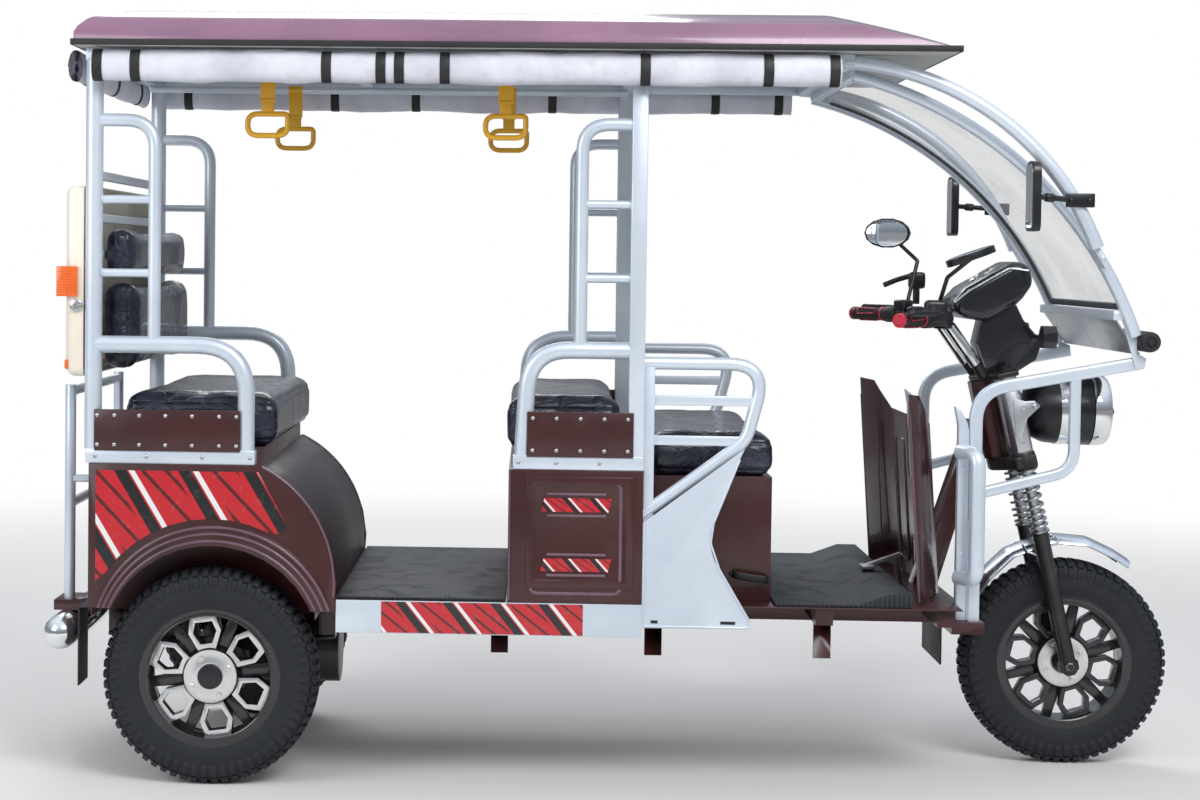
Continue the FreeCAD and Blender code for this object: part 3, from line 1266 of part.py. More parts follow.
def rear_bumper():
    """The bright round bumper tube with rounded ends."""
    z = BUMPER_BRACKET_Z[0] - BUMPER_R * math.cos(math.pi / BUMPER_FACETS) - SEAT_GAP
    half = 400.0
    profile = ((0.0, -half - 34.0), (20.0, -half - 28.0), (34.0, -half - 14.0), (BUMPER_R, -half),
               (BUMPER_R, half), (34.0, half + 14.0), (20.0, half + 28.0), (0.0, half + 34.0))
    tube = ring_of_facets(profile, BUMPER_FACETS, math.pi / BUMPER_FACETS, closed=False)
    tube.translate(V(BUMPER_X, 0, z))
    return tube


def rear_guard():
    """The upright tube guard behind the tail sheet."""
    y, x = 300.0, BUMPER_X
    upright = rod((x, -y, BUMPER_BRACKET_Z[1]), (x, -y, 924.0), 12.5)
    standoff = rod((x, -y, 700.0), (TAIL_X - SHEET, -y, 700.0), 9.0)
    bars = [rod((x, -y, z), (x, y, z), 11.0) for z in (640.0, 908.0)]
    return fused([upright, mirrored(upright), standoff, mirrored(standoff)] + bars)


def rear_mud_flap():
    """The right mud flap behind the rear wheel."""
    flap = box((-308.0, -304.0), (-445.0, -345.0), (230.0, BODY_BOTTOM))
    flange = box((-308.0, TAIL_X), (-445.0, -345.0), (BODY_BOTTOM - SHEET, BODY_BOTTOM))
    return fused([flap, flange])


# Roof fittings

ROLL_HALF = (31.0, 44.0)
ROLL_X = (-273.0, ROOF_FRONT_X - 262.0)
REAR_ROLL_X = (-344.0, -299.0)
ROLL_BACK_Y = 440.0


def roll_section(half_width, half_height):
    """Corners round a flattened roll, its flats at the given half sizes."""
    grow = 1.0 / math.cos(math.pi / TUBE_SIDES)
    turns = [2.0 * math.pi * (k + 0.5) / TUBE_SIDES for k in range(TUBE_SIDES)]
    return [(half_width * grow * math.cos(t), half_height * grow * math.sin(t)) for t in turns]


def curtain_roll():
    """The right rolled-up side curtain under the roof's edge."""
    y = -FRAME_Y - PILLAR_R - SEAT_GAP * 4 - ROLL_HALF[0]
    z = ROOF_RAIL_BOTTOM + ROOF_RAIL_HEIGHT - SEAT_GAP - ROLL_HALF[1]
    points = [V(ROLL_X[0], y + u, z + w) for u, w in roll_section(*ROLL_HALF)]
    return flat_face(points).extrude(V(ROLL_X[1] - ROLL_X[0], 0, 0))


def rear_roll():
    """The rolled-up rear curtain under the roof's back edge."""
    x = (REAR_ROLL_X[0] + REAR_ROLL_X[1]) / 2.0
    half = (REAR_ROLL_X[1] - REAR_ROLL_X[0]) / 2.0
    z = ROOF_RAIL_BOTTOM + ROOF_RAIL_HEIGHT - SEAT_GAP - ROLL_HALF[1]
    points = [V(x + u, -ROLL_BACK_Y, z + w) for u, w in roll_section(half, ROLL_HALF[1])]
    return flat_face(points).extrude(V(0, 2.0 * ROLL_BACK_Y, 0))


GRAB_Y = 300.0
GRAB_RAIL_R = 9.0
GRAB_X = (108.0, 672.0)
GRAB_RING = (54.0, 32.0)
GRAB_RING_Z = 1547.0
GRAB_BAND = 13.0
GRAB_HALF = 7.0
GRAB_STRAP = (18.0, 3.0)
GRAB_SIDES = 16


def grab_rail():
    """The right round rail under the roof bows, on which two handles hang."""
    z = ROOF_RAIL_BOTTOM - GRAB_RAIL_R + 1.0
    return rod((ROOF_BOWS_X[0], -GRAB_Y, z), (ROOF_BOWS_X[-2], -GRAB_Y, z), GRAB_RAIL_R, SMALL_SIDES)


def oval(centre_x, centre_z, half_x, half_z):
    """Points round an oval in the side view."""
    turns = [2.0 * math.pi * k / GRAB_SIDES for k in range(GRAB_SIDES)]
    return [(centre_x + half_x * math.cos(t), centre_z + half_z * math.sin(t)) for t in turns]


def grab_handles():
    """Four oval hanging handles on flat straps."""
    top = ROOF_RAIL_BOTTOM - 2.0 * GRAB_RAIL_R + 1.0 - SEAT_GAP
    half_x, half_z = GRAB_RING
    width, thick = GRAB_STRAP
    loops = []
    for x in GRAB_X:
        strap = box((x - width, x + width), (-GRAB_Y - thick, -GRAB_Y + thick),
                    (GRAB_RING_Z + half_z - GRAB_BAND / 2.0, top))
        ring = side_plate(oval(x, GRAB_RING_Z, half_x, half_z), -GRAB_Y - GRAB_HALF, -GRAB_Y + GRAB_HALF)
        hole = oval(x, GRAB_RING_Z, half_x - GRAB_BAND, half_z - GRAB_BAND)
        ring = ring.cut(side_plate(hole, -GRAB_Y - GRAB_HALF - 1.0, -GRAB_Y + GRAB_HALF + 1.0))
        loop = fused([strap, ring])
        loops += [loop, mirrored(loop)]
    return Part.makeCompound(loops)


SIDE_MIRROR_X = WHEELBASE - 205.0
SIDE_MIRROR_Y = (-518.0, -440.0)
SIDE_MIRROR_Z = (1312.0, 1471.0)
CLAMP_X = (WHEELBASE - 117.0, WHEELBASE - 51.0)
CLAMP_Z = (1368.0, 1400.0)


def frame_mirror():
    """The right square mirror clamped to the outer curved tube."""
    face = box((SIDE_MIRROR_X, SIDE_MIRROR_X + 18.0), SIDE_MIRROR_Y, SIDE_MIRROR_Z)
    clamp = box(CLAMP_X, (-ARC_Y - ARC_R - 6.0, -ARC_Y - ARC_R - SEAT_GAP), CLAMP_Z)
    arm = rod((SIDE_MIRROR_X + 14.0, -470.0, 1392.0), (CLAMP_X[0] + 6.0, -ARC_Y - ARC_R - 3.0, 1386.0), STEM_WIRE_R)
    return fused([face, clamp, arm])


# Node table

def build():
    """Every sub-part by its node name."""
    parts = wheel_parts()
    parts["chassis_frame"] = chassis_frame()
    parts["rear_axle"] = rear_axle()
    parts["floor_pan"] = floor_pan()
    parts["floor_mats"] = floor_mats()
    parts["rear_seat_riser"] = seat_riser()
    parts["rear_deck"] = rear_deck()
    parts["mid_seat_box"] = mid_seat_box()
    parts["driver_seat_box"] = seat_box(DRIVER_BOX_X, DRIVER_BOX_Y, DRIVER_BOX_TOP)
    parts["roof_shell"] = roof_shell()
    parts["ceiling_panel"] = ceiling_panel()
    parts["roof_trim"] = roof_trim()
    parts["canopy_frame"] = canopy_frame()
    parts["windscreen_frame"] = windscreen_frame()
    parts["windscreen"] = windscreen()
    parts["nose_panel"] = nose_panel()
    parts["nose_bar"] = nose_bar()
    parts["leg_shield"] = leg_shield()
    parts["brake_pedal"] = brake_pedal()
    parts["mud_flaps"] = Part.makeCompound([front_mud_flap(), both_sides(rear_mud_flap())])
    parts["fork_yokes"] = fork_yokes()
    parts["fork_legs"] = fork_legs()
    parts["fork_springs"] = fork_springs()
    parts["front_fender"] = front_fender()
    parts["headlamp_shell"] = headlamp_shell()
    parts["headlamp_bezel"] = headlamp_bezel()
    parts["handlebar"] = handlebar()
    parts["handlebar_grips"] = handlebar_grips()
    parts["bar_mirrors"] = bar_mirrors()
    parts["instrument_pod"] = instrument_pod()
    parts["nacelle"] = nacelle()
    parts["tail_panel"] = tail_panel()
    parts["rear_lamps"] = rear_lamps()
    parts["rear_frame"] = rear_frame()
    parts["rear_bumper"] = rear_bumper()
    parts["rear_guard"] = rear_guard()
    parts["grab_handles"] = grab_handles()
    parts["battery_pack"] = box((-235.0, 60.0), (-190.0, 190.0), (FLOOR_TOP, 690.0))
    parts["rear_seat_cushion"] = cushion((-225.0, CUSHION_FRONT_X), 400.0, (CUSHION_BASE + SEAT_GAP, 912.0), 40.0)
    parts["mid_seat_cushion"] = mid_cushion()
    parts["driver_seat_cushion"] = cushion((1006.0, 1318.0), 395.0, (DRIVER_BOX_TOP + SEAT_GAP, 836.0), 30.0)
    parts["rear_backrest"] = Part.makeCompound([
        cushion((BACK_BAR_X[1] + SEAT_GAP, -185.0), 400.0, (960.0, 1176.0), 25.0),
        cushion((BACK_BAR_X[1] + SEAT_GAP, -190.0), 400.0, (1178.0, 1302.0), 25.0)])
    parts["curtain_rolls"] = Part.makeCompound([both_sides(curtain_roll()), rear_roll()])
    parts["side_plates"] = Part.makeCompound([both_sides(side_skin(REAR_PLATE)), both_sides(side_skin(MID_PLATE))])
    pairs = {"side_panels": driver_side_panel(), "leaf_springs": leaf_springs(), "frame_mirrors": frame_mirror(),
             "rear_body_sides": rear_body_side(), "mid_frames": mid_side_frame(),
             "front_guards": front_guard_set()}
    for name, shape in pairs.items():
        parts[name] = both_sides(shape)
    return parts


def export(parts):
    """Move the parts to the vehicle's own origin and write one STEP file for each."""
    os.makedirs("parts", exist_ok=True)
    middle = (WHEELBASE + TYRE_RADIUS - REAR_REACH) / 2.0
    for name, shape in sorted(parts.items()):
        placed = shape.copy()
        placed.translate(V(-middle, 0, 0))
        placed.exportStep("parts/%s.step" % name)


export(build())
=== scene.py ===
"""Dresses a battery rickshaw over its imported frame: finishes, wheels, seats, curtains, fork, lamps and trim."""

import json
import logging
import math
from dataclasses import dataclass
from enum import Enum
from typing import Any, Iterable, Optional, Sequence

import bmesh
import bpy
from mathutils import Matrix, Vector, noise

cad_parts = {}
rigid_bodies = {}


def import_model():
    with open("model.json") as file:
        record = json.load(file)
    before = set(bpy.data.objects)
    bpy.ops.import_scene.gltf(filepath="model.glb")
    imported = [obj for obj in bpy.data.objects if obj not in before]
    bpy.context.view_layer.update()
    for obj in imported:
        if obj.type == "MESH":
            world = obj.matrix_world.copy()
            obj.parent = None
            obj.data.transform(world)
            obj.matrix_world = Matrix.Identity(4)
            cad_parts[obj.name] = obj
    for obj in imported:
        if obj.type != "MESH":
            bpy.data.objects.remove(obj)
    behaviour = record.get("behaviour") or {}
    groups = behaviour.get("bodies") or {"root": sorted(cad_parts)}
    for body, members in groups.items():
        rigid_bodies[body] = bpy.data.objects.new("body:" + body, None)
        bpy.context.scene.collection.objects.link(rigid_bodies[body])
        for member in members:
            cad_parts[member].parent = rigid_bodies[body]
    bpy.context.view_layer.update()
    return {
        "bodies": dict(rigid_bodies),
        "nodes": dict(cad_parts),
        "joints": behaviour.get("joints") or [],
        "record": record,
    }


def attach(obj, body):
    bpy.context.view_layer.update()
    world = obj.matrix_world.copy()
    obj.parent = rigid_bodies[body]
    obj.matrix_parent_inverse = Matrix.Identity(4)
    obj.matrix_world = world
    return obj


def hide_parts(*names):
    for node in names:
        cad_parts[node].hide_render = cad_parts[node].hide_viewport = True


LOG = logging.getLogger("rickshaw")
Point = Sequence[float]
Pair = tuple[float, float]
Colour = tuple[float, float, float]
MM = 0.001
AXLE_X = -0.96125
TO_FRAME = Matrix.Translation((AXLE_X, 0.0, 0.0)) @ Matrix.Diagonal((MM, MM, MM, 1.0))
MIRROR = Matrix.Diagonal((1.0, -1.0, 1.0, 1.0))
AHEAD, LEFT, RIGHT, UP = (Vector(way) for way in ((1, 0, 0), (0, 1, 0), (0, -1, 0), (0, 0, 1)))
SIDES = (-1, 1)
WHOLE_TURN = 2.0 * math.pi
WHEELBASE = 2067.0
AXLE_Z = 253.5
PANEL_SMOOTH, TUBE_SMOOTH, ROUND_SMOOTH = 38.0, 45.0, 60.0


class Body(Enum):
    """The rigid bodies of the vehicle that a piece can ride on."""

    VEHICLE = "vehicle"
    STEERING = "steering"
    FRONT_WHEEL = "front_wheel"
    REAR_RIGHT = "rear_wheel_right"
    REAR_LEFT = "rear_wheel_left"


class Slot(Enum):
    """The material slots of the record."""

    TYRE = "tyre_rubber"
    ALLOY = "alloy"
    BLACK_ALLOY = "black_alloy"
    MAROON = "maroon_paint"
    MAROON_PLASTIC = "maroon_plastic"
    ROOF = "roof_plastic"
    LINING = "lining"
    BLACK_STEEL = "black_steel"
    MAT = "mat_rubber"
    RUBBER = "black_rubber"
    SILVER = "silver_tube"
    SHEET = "alloy_sheet"
    BRIGHT = "bright_steel"
    CHROME = "chrome"
    CLEAR = "clear_sheet"
    BLACK = "black_plastic"
    CREAM = "cream_plastic"
    ORANGE = "orange_lens"
    YELLOW = "yellow_plastic"
    BATTERY = "battery_case"
    VINYL = "vinyl"
    CURTAIN = "curtain_cloth"


# Shader graphs


class Signal:
    """A number or colour that a shader node gives, with the arithmetic that the finishes use."""

    def __init__(self, graph: "Graph", socket: bpy.types.NodeSocket) -> None:
        """Keeps the graph that new nodes go into and the output that this stands for."""
        self.graph = graph
        self.socket = socket

    def _math(self, operation: str, other: Any = 0.0, swapped: bool = False) -> "Signal":
        """The result of one Math node on this and another value, in that order unless swapped."""
        first, second = (other, self) if swapped else (self, other)
        return self.graph.node("ShaderNodeMath", {"operation": operation}, {0: first, 1: second})

    def __add__(self, other: Any) -> "Signal":
        """This plus another."""
        return self._math("ADD", other)

    def __sub__(self, other: Any) -> "Signal":
        """This less another."""
        return self._math("SUBTRACT", other)

    def __rsub__(self, other: Any) -> "Signal":
        """Another less this."""
        return self._math("SUBTRACT", other, swapped=True)

    def __mul__(self, other: Any) -> "Signal":
        """This times another."""
        return self._math("MULTIPLY", other)

    __radd__, __rmul__ = __add__, __mul__

    def over(self, level: float) -> "Signal":
        """1 where this is over a level, and 0 elsewhere."""
        return self._math("GREATER_THAN", level)

    def fraction(self) -> "Signal":
        """The part of this after the point."""
        return self._math("FRACT")

    def sine(self) -> "Signal":
        """The sine of this, an angle in radians."""
        return self._math("SINE")

    def size(self) -> "Signal":
        """This without its sign."""
        return self._math("ABSOLUTE")

    def ramp(self, low: float, high: float) -> "Signal":
        """A soft step from 0 at one level to 1 at another."""
        return self.graph.node("ShaderNodeMapRange", {"interpolation_type": "SMOOTHSTEP"},
                               {"Value": self, "From Min": low, "From Max": high})


def rgba(colour: Sequence[float]) -> tuple[float, ...]:
    """A colour with full alpha."""
    return (*colour, 1.0)[:4]


class Graph:
    """The node graph of one material."""

    def __init__(self, name: str, owner: Optional[bpy.types.World] = None) -> None:
        """Starts an empty graph.

        Args:
            name: the material's name.
            owner: a world that the graph belongs to, in place of a new material.
        """
        self.material = owner or bpy.data.materials.new(name)
        self.material.use_nodes = True
        self.tree = self.material.node_tree
        self.tree.nodes.clear()
        self.place = self.node("ShaderNodeTexCoord", output="Generated" if owner else "Object")

    def node(self, kind: str, settings: Optional[dict] = None, inputs: Optional[dict] = None,
             output: Any = 0) -> Signal:
        """Adds one node.

        Args:
            kind: the node's type.
            settings: its own properties, set first; "stops" fills a colour ramp.
            inputs: values or signals for its input sockets, by name or number.
            output: the output socket to return, by name or number.

        Returns:
            The chosen output.
        """
        node = self.tree.nodes.new(kind)
        for name, value in (settings or {}).items():
            if name == "stops":
                elements = node.color_ramp.elements
                elements.remove(elements[-1])
                elements[0].position, elements[0].color = value[0][0], rgba(value[0][1])
                for position, colour in value[1:]:
                    elements.new(position).color = rgba(colour)
            else:
                setattr(node, name, value)
        for key, value in (inputs or {}).items():
            if isinstance(value, Signal):
                self.tree.links.new(value.socket, node.inputs[key])
            else:
                node.inputs[key].default_value = value
        return Signal(self, node.outputs[output])

    def stretched(self, scale: Point, turn: Point = (0.0, 0.0, 0.0)) -> Signal:
        """Object coordinates with a scale and a turn in radians for each axis."""
        return self.node("ShaderNodeMapping", inputs={"Vector": self.place, "Scale": scale, "Rotation": turn})

    def noise(self, scale: float, detail: float = 3.0, source: Optional[Signal] = None,
              distortion: float = 0.0) -> Signal:
        """Cloudy noise from 0 to 1.

        Args:
            scale: clouds in a metre.
            detail: how many finer layers lie on it.
            source: other coordinates than the object's.
            distortion: how far the clouds are dragged out of shape.

        Returns:
            The noise.
        """
        return self.node("ShaderNodeTexNoise", inputs={"Vector": source or self.place, "Scale": scale,
                                                       "Detail": detail, "Distortion": distortion})

    def axis(self, name: str, source: Optional[Signal] = None) -> Signal:
        """One coordinate of a vector, named X, Y or Z."""
        return self.node("ShaderNodeSeparateXYZ", inputs={0: source or self.place}, output=name)

    def mix(self, factor: Any, first: Any, second: Any) -> Signal:
        """Blends two colours or signals: 0 gives the first and 1 the second."""
        tones = [tone if isinstance(tone, Signal) else rgba(tone) for tone in (first, second)]
        return self.node("ShaderNodeMix", {"data_type": "RGBA"}, {0: factor, 6: tones[0], 7: tones[1]}, output=2)

    def bump(self, height: Signal, depth: float, strength: float = 1.0) -> Signal:
        """A normal from a height of 0 to 1 that is so many metres deep."""
        return self.node("ShaderNodeBump", inputs={"Height": height, "Distance": depth, "Strength": strength})

    def surface(self, tone: Any, rough: Any, normal: Optional[Signal] = None, coat: float = 0.0,
                coat_rough: float = 0.03, **more: Any) -> bpy.types.Material:
        """Ends the graph in one surface shader.

        Args:
            tone: its colour.
            rough: its roughness.
            normal: its bent normal.
            coat: how much clear coat lies on it.
            coat_rough: the coat's roughness.
            more: other sockets by name.

        Returns:
            The finished material.
        """
        inputs = {"Base Color": tone if isinstance(tone, Signal) else rgba(tone), "Roughness": rough,
                  "Coat Weight": coat, "Coat Roughness": coat_rough, **more}
        if normal is not None:
            inputs["Normal"] = normal
        self.end(self.node("ShaderNodeBsdfPrincipled", inputs=inputs))
        return self.material

    def end(self, shader: Signal, kind: str = "ShaderNodeOutputMaterial") -> None:
        """Links a shader to the graph's output."""
        out = self.tree.nodes.new(kind)
        self.tree.links.new(shader.socket, out.inputs["Surface"])


# Finishes


@dataclass(frozen=True)
class Paint:
    """Paint or gloss plastic with uneven tone, a film of dust and a slight orange peel."""

    name: str
    colour: Colour
    shade: Colour
    dust: Colour = (0.35, 0.31, 0.27)
    metallic: float = 0.0
    roughness: float = 0.3
    coat: float = 0.6
    peel: float = 0.0002
    peel_scale: float = 90.0
    dust_share: float = 0.10

    def make(self) -> bpy.types.Material:
        """Builds the material."""
        graph = Graph(self.name)
        cloud = graph.noise(4.0, 4.0, distortion=0.4).ramp(0.35, 0.68)
        speck = graph.noise(160.0, 4.0).ramp(0.5, 0.75)
        settled = graph.noise(14.0, 5.0).ramp(0.48, 0.75) * (0.4 + 0.6 * speck)
        tone = graph.mix(cloud, self.colour, self.shade)
        tone = graph.mix(settled * self.dust_share, tone, self.dust)
        rough = self.roughness + 0.12 * settled + 0.05 * cloud
        peel = graph.bump(graph.noise(self.peel_scale), self.peel)
        return graph.surface(tone, rough, peel, self.coat, 0.08, Metallic=self.metallic)


@dataclass(frozen=True)
class Metal:
    """Bare metal: plated, polished or brushed, with faint handling marks."""

    name: str
    colour: Colour
    stain: Colour
    roughness: float = 0.12
    grain: Colour = (400.0, 400.0, 400.0)
    depth: float = 0.00003
    stain_share: float = 0.25

    def make(self) -> bpy.types.Material:
        """Builds the material."""
        graph = Graph(self.name)
        smear = graph.noise(18.0, 4.0, distortion=0.6).ramp(0.42, 0.72)
        brushed = graph.noise(1.0, 3.0, graph.stretched(self.grain))
        tone = graph.mix(smear * self.stain_share, self.colour, self.stain)
        rough = self.roughness + 0.10 * smear + 0.06 * brushed
        return graph.surface(tone, rough, graph.bump(brushed, self.depth), Metallic=1.0)


@dataclass(frozen=True)
class Grain:
    """Grained rubber or moulded plastic with pale dust in its hollows."""

    name: str
    colour: Colour
    dust: Colour
    roughness: float = 0.55
    scale: float = 500.0
    depth: float = 0.00025
    dust_share: float = 0.25
    coat: float = 0.0

    def make(self) -> bpy.types.Material:
        """Builds the material."""
        graph = Graph(self.name)
        fine = graph.noise(self.scale, 4.0)
        broad = graph.noise(11.0, 5.0, distortion=0.5).ramp(0.42, 0.78)
        settled = broad * (1.0 - 0.6 * fine.ramp(0.45, 0.65))
        tone = graph.mix(settled * self.dust_share, self.colour, self.dust)
        rough = self.roughness + 0.15 * settled
        return graph.surface(tone, rough, graph.bump(fine, self.depth), self.coat, 0.15)


@dataclass(frozen=True)
class WrappedVinyl:
    """Dark seat vinyl under creased clear film, with painted highlights on broad patches and along the film's creases.
    """

    name: str
    colour: Colour = (0.004, 0.006, 0.017)
    # film: the paler colour of the painted highlights on the film
    film: Colour = (0.034, 0.042, 0.074)

    def make(self) -> bpy.types.Material:
        """Builds the material."""
        graph = Graph(self.name)
        grain = graph.noise(900.0)
        drift = graph.noise(7.0, distortion=1.2)
        folds = graph.noise(1.0, 5.0, graph.stretched((9.0, 26.0, 18.0), (0.3, 0.2, 0.5)), distortion=1.8)
        ridge = 1.0 - (folds - 0.5).size().ramp(0.0, 0.045)
        # Painted highlight: pale patches and streaks along the crease ridges, blended into the base colour
        painted_highlight = drift.ramp(0.45, 0.62) * 0.55 + ridge * 0.45
        creases = folds.ramp(0.3, 0.7) * 0.6 + ridge * 0.25 + grain * 0.02
        return graph.surface(graph.mix(painted_highlight, self.colour, self.film), 0.20 + 0.25 * drift,
                             graph.bump(creases, 0.010, 0.8), 0.45, 0.05)


@dataclass(frozen=True)
class Weave:
    """Coarse plain-woven awning cloth, drawn on the piece's own map in metres."""

    name: str
    colour: Colour
    thread: Colour
    soil: Colour = (0.12, 0.11, 0.10)
    pitch: float = 0.0042

    def make(self) -> bpy.types.Material:
        """Builds the material."""
        graph = Graph(self.name)
        chart = graph.node("ShaderNodeUVMap", {"uv_map": "cloth"})
        warp, weft = ((graph.axis(axis, chart) * (WHOLE_TURN / self.pitch)).sine() for axis in "XY")
        knot = (warp * weft).ramp(-0.5, 0.5)
        cloud = graph.noise(9.0, 5.0).ramp(0.35, 0.7)
        soil = graph.noise(30.0, 5.0, distortion=0.5).ramp(0.5, 0.8)
        tone = graph.mix(knot * 0.75, self.colour, self.thread)
        tone = graph.mix(soil * 0.15, graph.mix(cloud * 0.5, tone, self.thread), self.soil)
        return graph.surface(tone, 0.62 - 0.1 * knot, graph.bump(knot, 0.0005, 0.8), 0.15, 0.3)


@dataclass(frozen=True)
class ClearSheet:
    """Clear plastic sheet, hazy with fine scratches."""

    name: str
    tint: Colour = (0.74, 0.77, 0.78)
    body: float = 0.22
    haze: float = 0.20

    def make(self) -> bpy.types.Material:
        """Builds the material."""
        graph = Graph(self.name)
        wipes = graph.noise(1.0, 5.0, graph.stretched((6.0, 30.0, 14.0), (0.4, 0.0, 0.3)), distortion=0.6)
        haze = graph.noise(5.0, 4.0).ramp(0.35, 0.75)
        return graph.surface(self.tint, 0.06 + 0.10 * haze, Alpha=self.body + self.haze * haze * wipes, IOR=1.45)


@dataclass(frozen=True)
class Lens:
    """Coloured lamp lens with moulded ribs."""

    name: str
    colour: Colour
    deep: Colour
    rib_pitch: float = 0.006

    def make(self) -> bpy.types.Material:
        """Builds the material."""
        graph = Graph(self.name)
        ribs = (graph.axis("Z") * (WHOLE_TURN / self.rib_pitch)).sine().ramp(-1.0, 1.0)
        cloud = graph.noise(40.0).ramp(0.3, 0.7)
        tone = graph.mix(0.35 * ribs + 0.3 * cloud, self.colour, self.deep)
        return graph.surface(tone, 0.18 + 0.1 * cloud, graph.bump(ribs, 0.0006), 0.8, 0.05)


@dataclass(frozen=True)
class GlassBlock:
    """Thick glass of a lamp or dial over a dark inside, with faint smears."""

    name: str
    tint: Colour = (0.035, 0.040, 0.050)
    pale: Colour = (0.10, 0.12, 0.15)

    def make(self) -> bpy.types.Material:
        """Builds the material."""
        graph = Graph(self.name)
        smear = graph.noise(24.0, 4.0, distortion=0.8).ramp(0.4, 0.7)
        tone = graph.mix(graph.noise(9.0).ramp(0.35, 0.65), self.tint, self.pale)
        return graph.surface(tone, 0.05 + 0.06 * smear, graph.bump(smear, 0.0002), 1.0)


@dataclass(frozen=True)
class FootMat:
    """Rubber floor mat moulded in slanted bars that change hands row by row, the raised bars painted lighter than the
    grooves.
    """

    name: str
    colour: Colour = (0.007, 0.009, 0.013)
    # dust: the lighter colour, for scuffed dust and for the painted highlight on the raised bars
    dust: Colour = (0.036, 0.043, 0.055)
    row: float = 0.020
    bar: float = 0.011

    def make(self) -> bpy.types.Material:
        """Builds the material."""
        graph = Graph(self.name)
        along, across = graph.axis("X"), graph.axis("Y")
        hand = (across * (0.5 / self.row)).fraction().over(0.5) * 2.0 - 1.0
        bars = ((along + hand * across * 0.9) * (1.0 / self.bar)).fraction()
        rib = (bars - 0.5).size().ramp(0.16, 0.30)
        edge = ((across * (1.0 / self.row)).fraction() - 0.5).size().ramp(0.40, 0.46)
        height = 1.0 - (rib + edge).ramp(0.2, 0.9)
        scuff = graph.noise(16.0, 5.0, distortion=0.6).ramp(0.45, 0.78)
        # Raised bars painted lighter than the grooves: a painted highlight on their tops and painted shade in the
        # grooves, stronger where scuffed dust lies
        tone = graph.mix(height * (0.45 + 0.5 * scuff), self.colour, self.dust)
        return graph.surface(tone, 0.60 + 0.2 * scuff, graph.bump(height, 0.0018, 0.9))


@dataclass(frozen=True)
class Slashes:
    """A generic decal: slanted red, black and white slashes of uneven width on the piece's own map."""

    name: str
    pitch: float
    lean: float
    start: float
    red: Colour = (0.52, 0.012, 0.020)
    black: Colour = (0.010, 0.010, 0.011)
    white: Colour = (0.78, 0.78, 0.78)
    worn: Colour = (0.35, 0.30, 0.28)

    def make(self) -> bpy.types.Material:
        """Builds the material."""
        graph = Graph(self.name)
        chart = graph.node("ShaderNodeUVMap", {"uv_map": "print"})
        along, up = graph.axis("X", chart), graph.axis("Y", chart)
        run = ((along + up * self.lean + self.start) * (1.0 / self.pitch)).fraction()
        fine = ((along + up * self.lean * 1.6) * (2.7 / self.pitch)).fraction()
        dark = run.ramp(0.58, 0.59) * (1.0 - run.ramp(0.78, 0.79))
        pale = run.ramp(0.81, 0.82) * (1.0 - run.ramp(0.90, 0.91))
        thin = fine.ramp(0.78, 0.80) * (1.0 - run.ramp(0.50, 0.52))
        rub = graph.noise(60.0, 4.0).ramp(0.55, 0.8)
        tone = graph.mix(dark, self.red, self.black)
        tone = graph.mix(thin * 0.85, graph.mix(pale, tone, self.white), self.black)
        return graph.surface(graph.mix(rub * 0.12, tone, self.worn), 0.28 + 0.15 * rub,
                             graph.bump(graph.noise(120.0, 2.0), 0.0001), 0.5, 0.1)


@dataclass(frozen=True)
class Backdrop:
    """The pale floor, which thins out to the white surroundings away from the object."""

    name: str
    colour: Colour = (0.82, 0.82, 0.82)
    near: float = 2.6
    far: float = 6.5

    def make(self) -> bpy.types.Material:
        """Builds the material."""
        graph = Graph(self.name)
        reach = graph.node("ShaderNodeVectorMath", {"operation": "LENGTH"}, {0: graph.place}, output="Value")
        plain = graph.node("ShaderNodeBsdfDiffuse", inputs={"Color": rgba(self.colour)})
        clear = graph.node("ShaderNodeBsdfTransparent")
        thin = reach.ramp(self.near, self.far)
        graph.end(graph.node("ShaderNodeMixShader", inputs={0: thin, 1: plain, 2: clear}))
        return graph.material


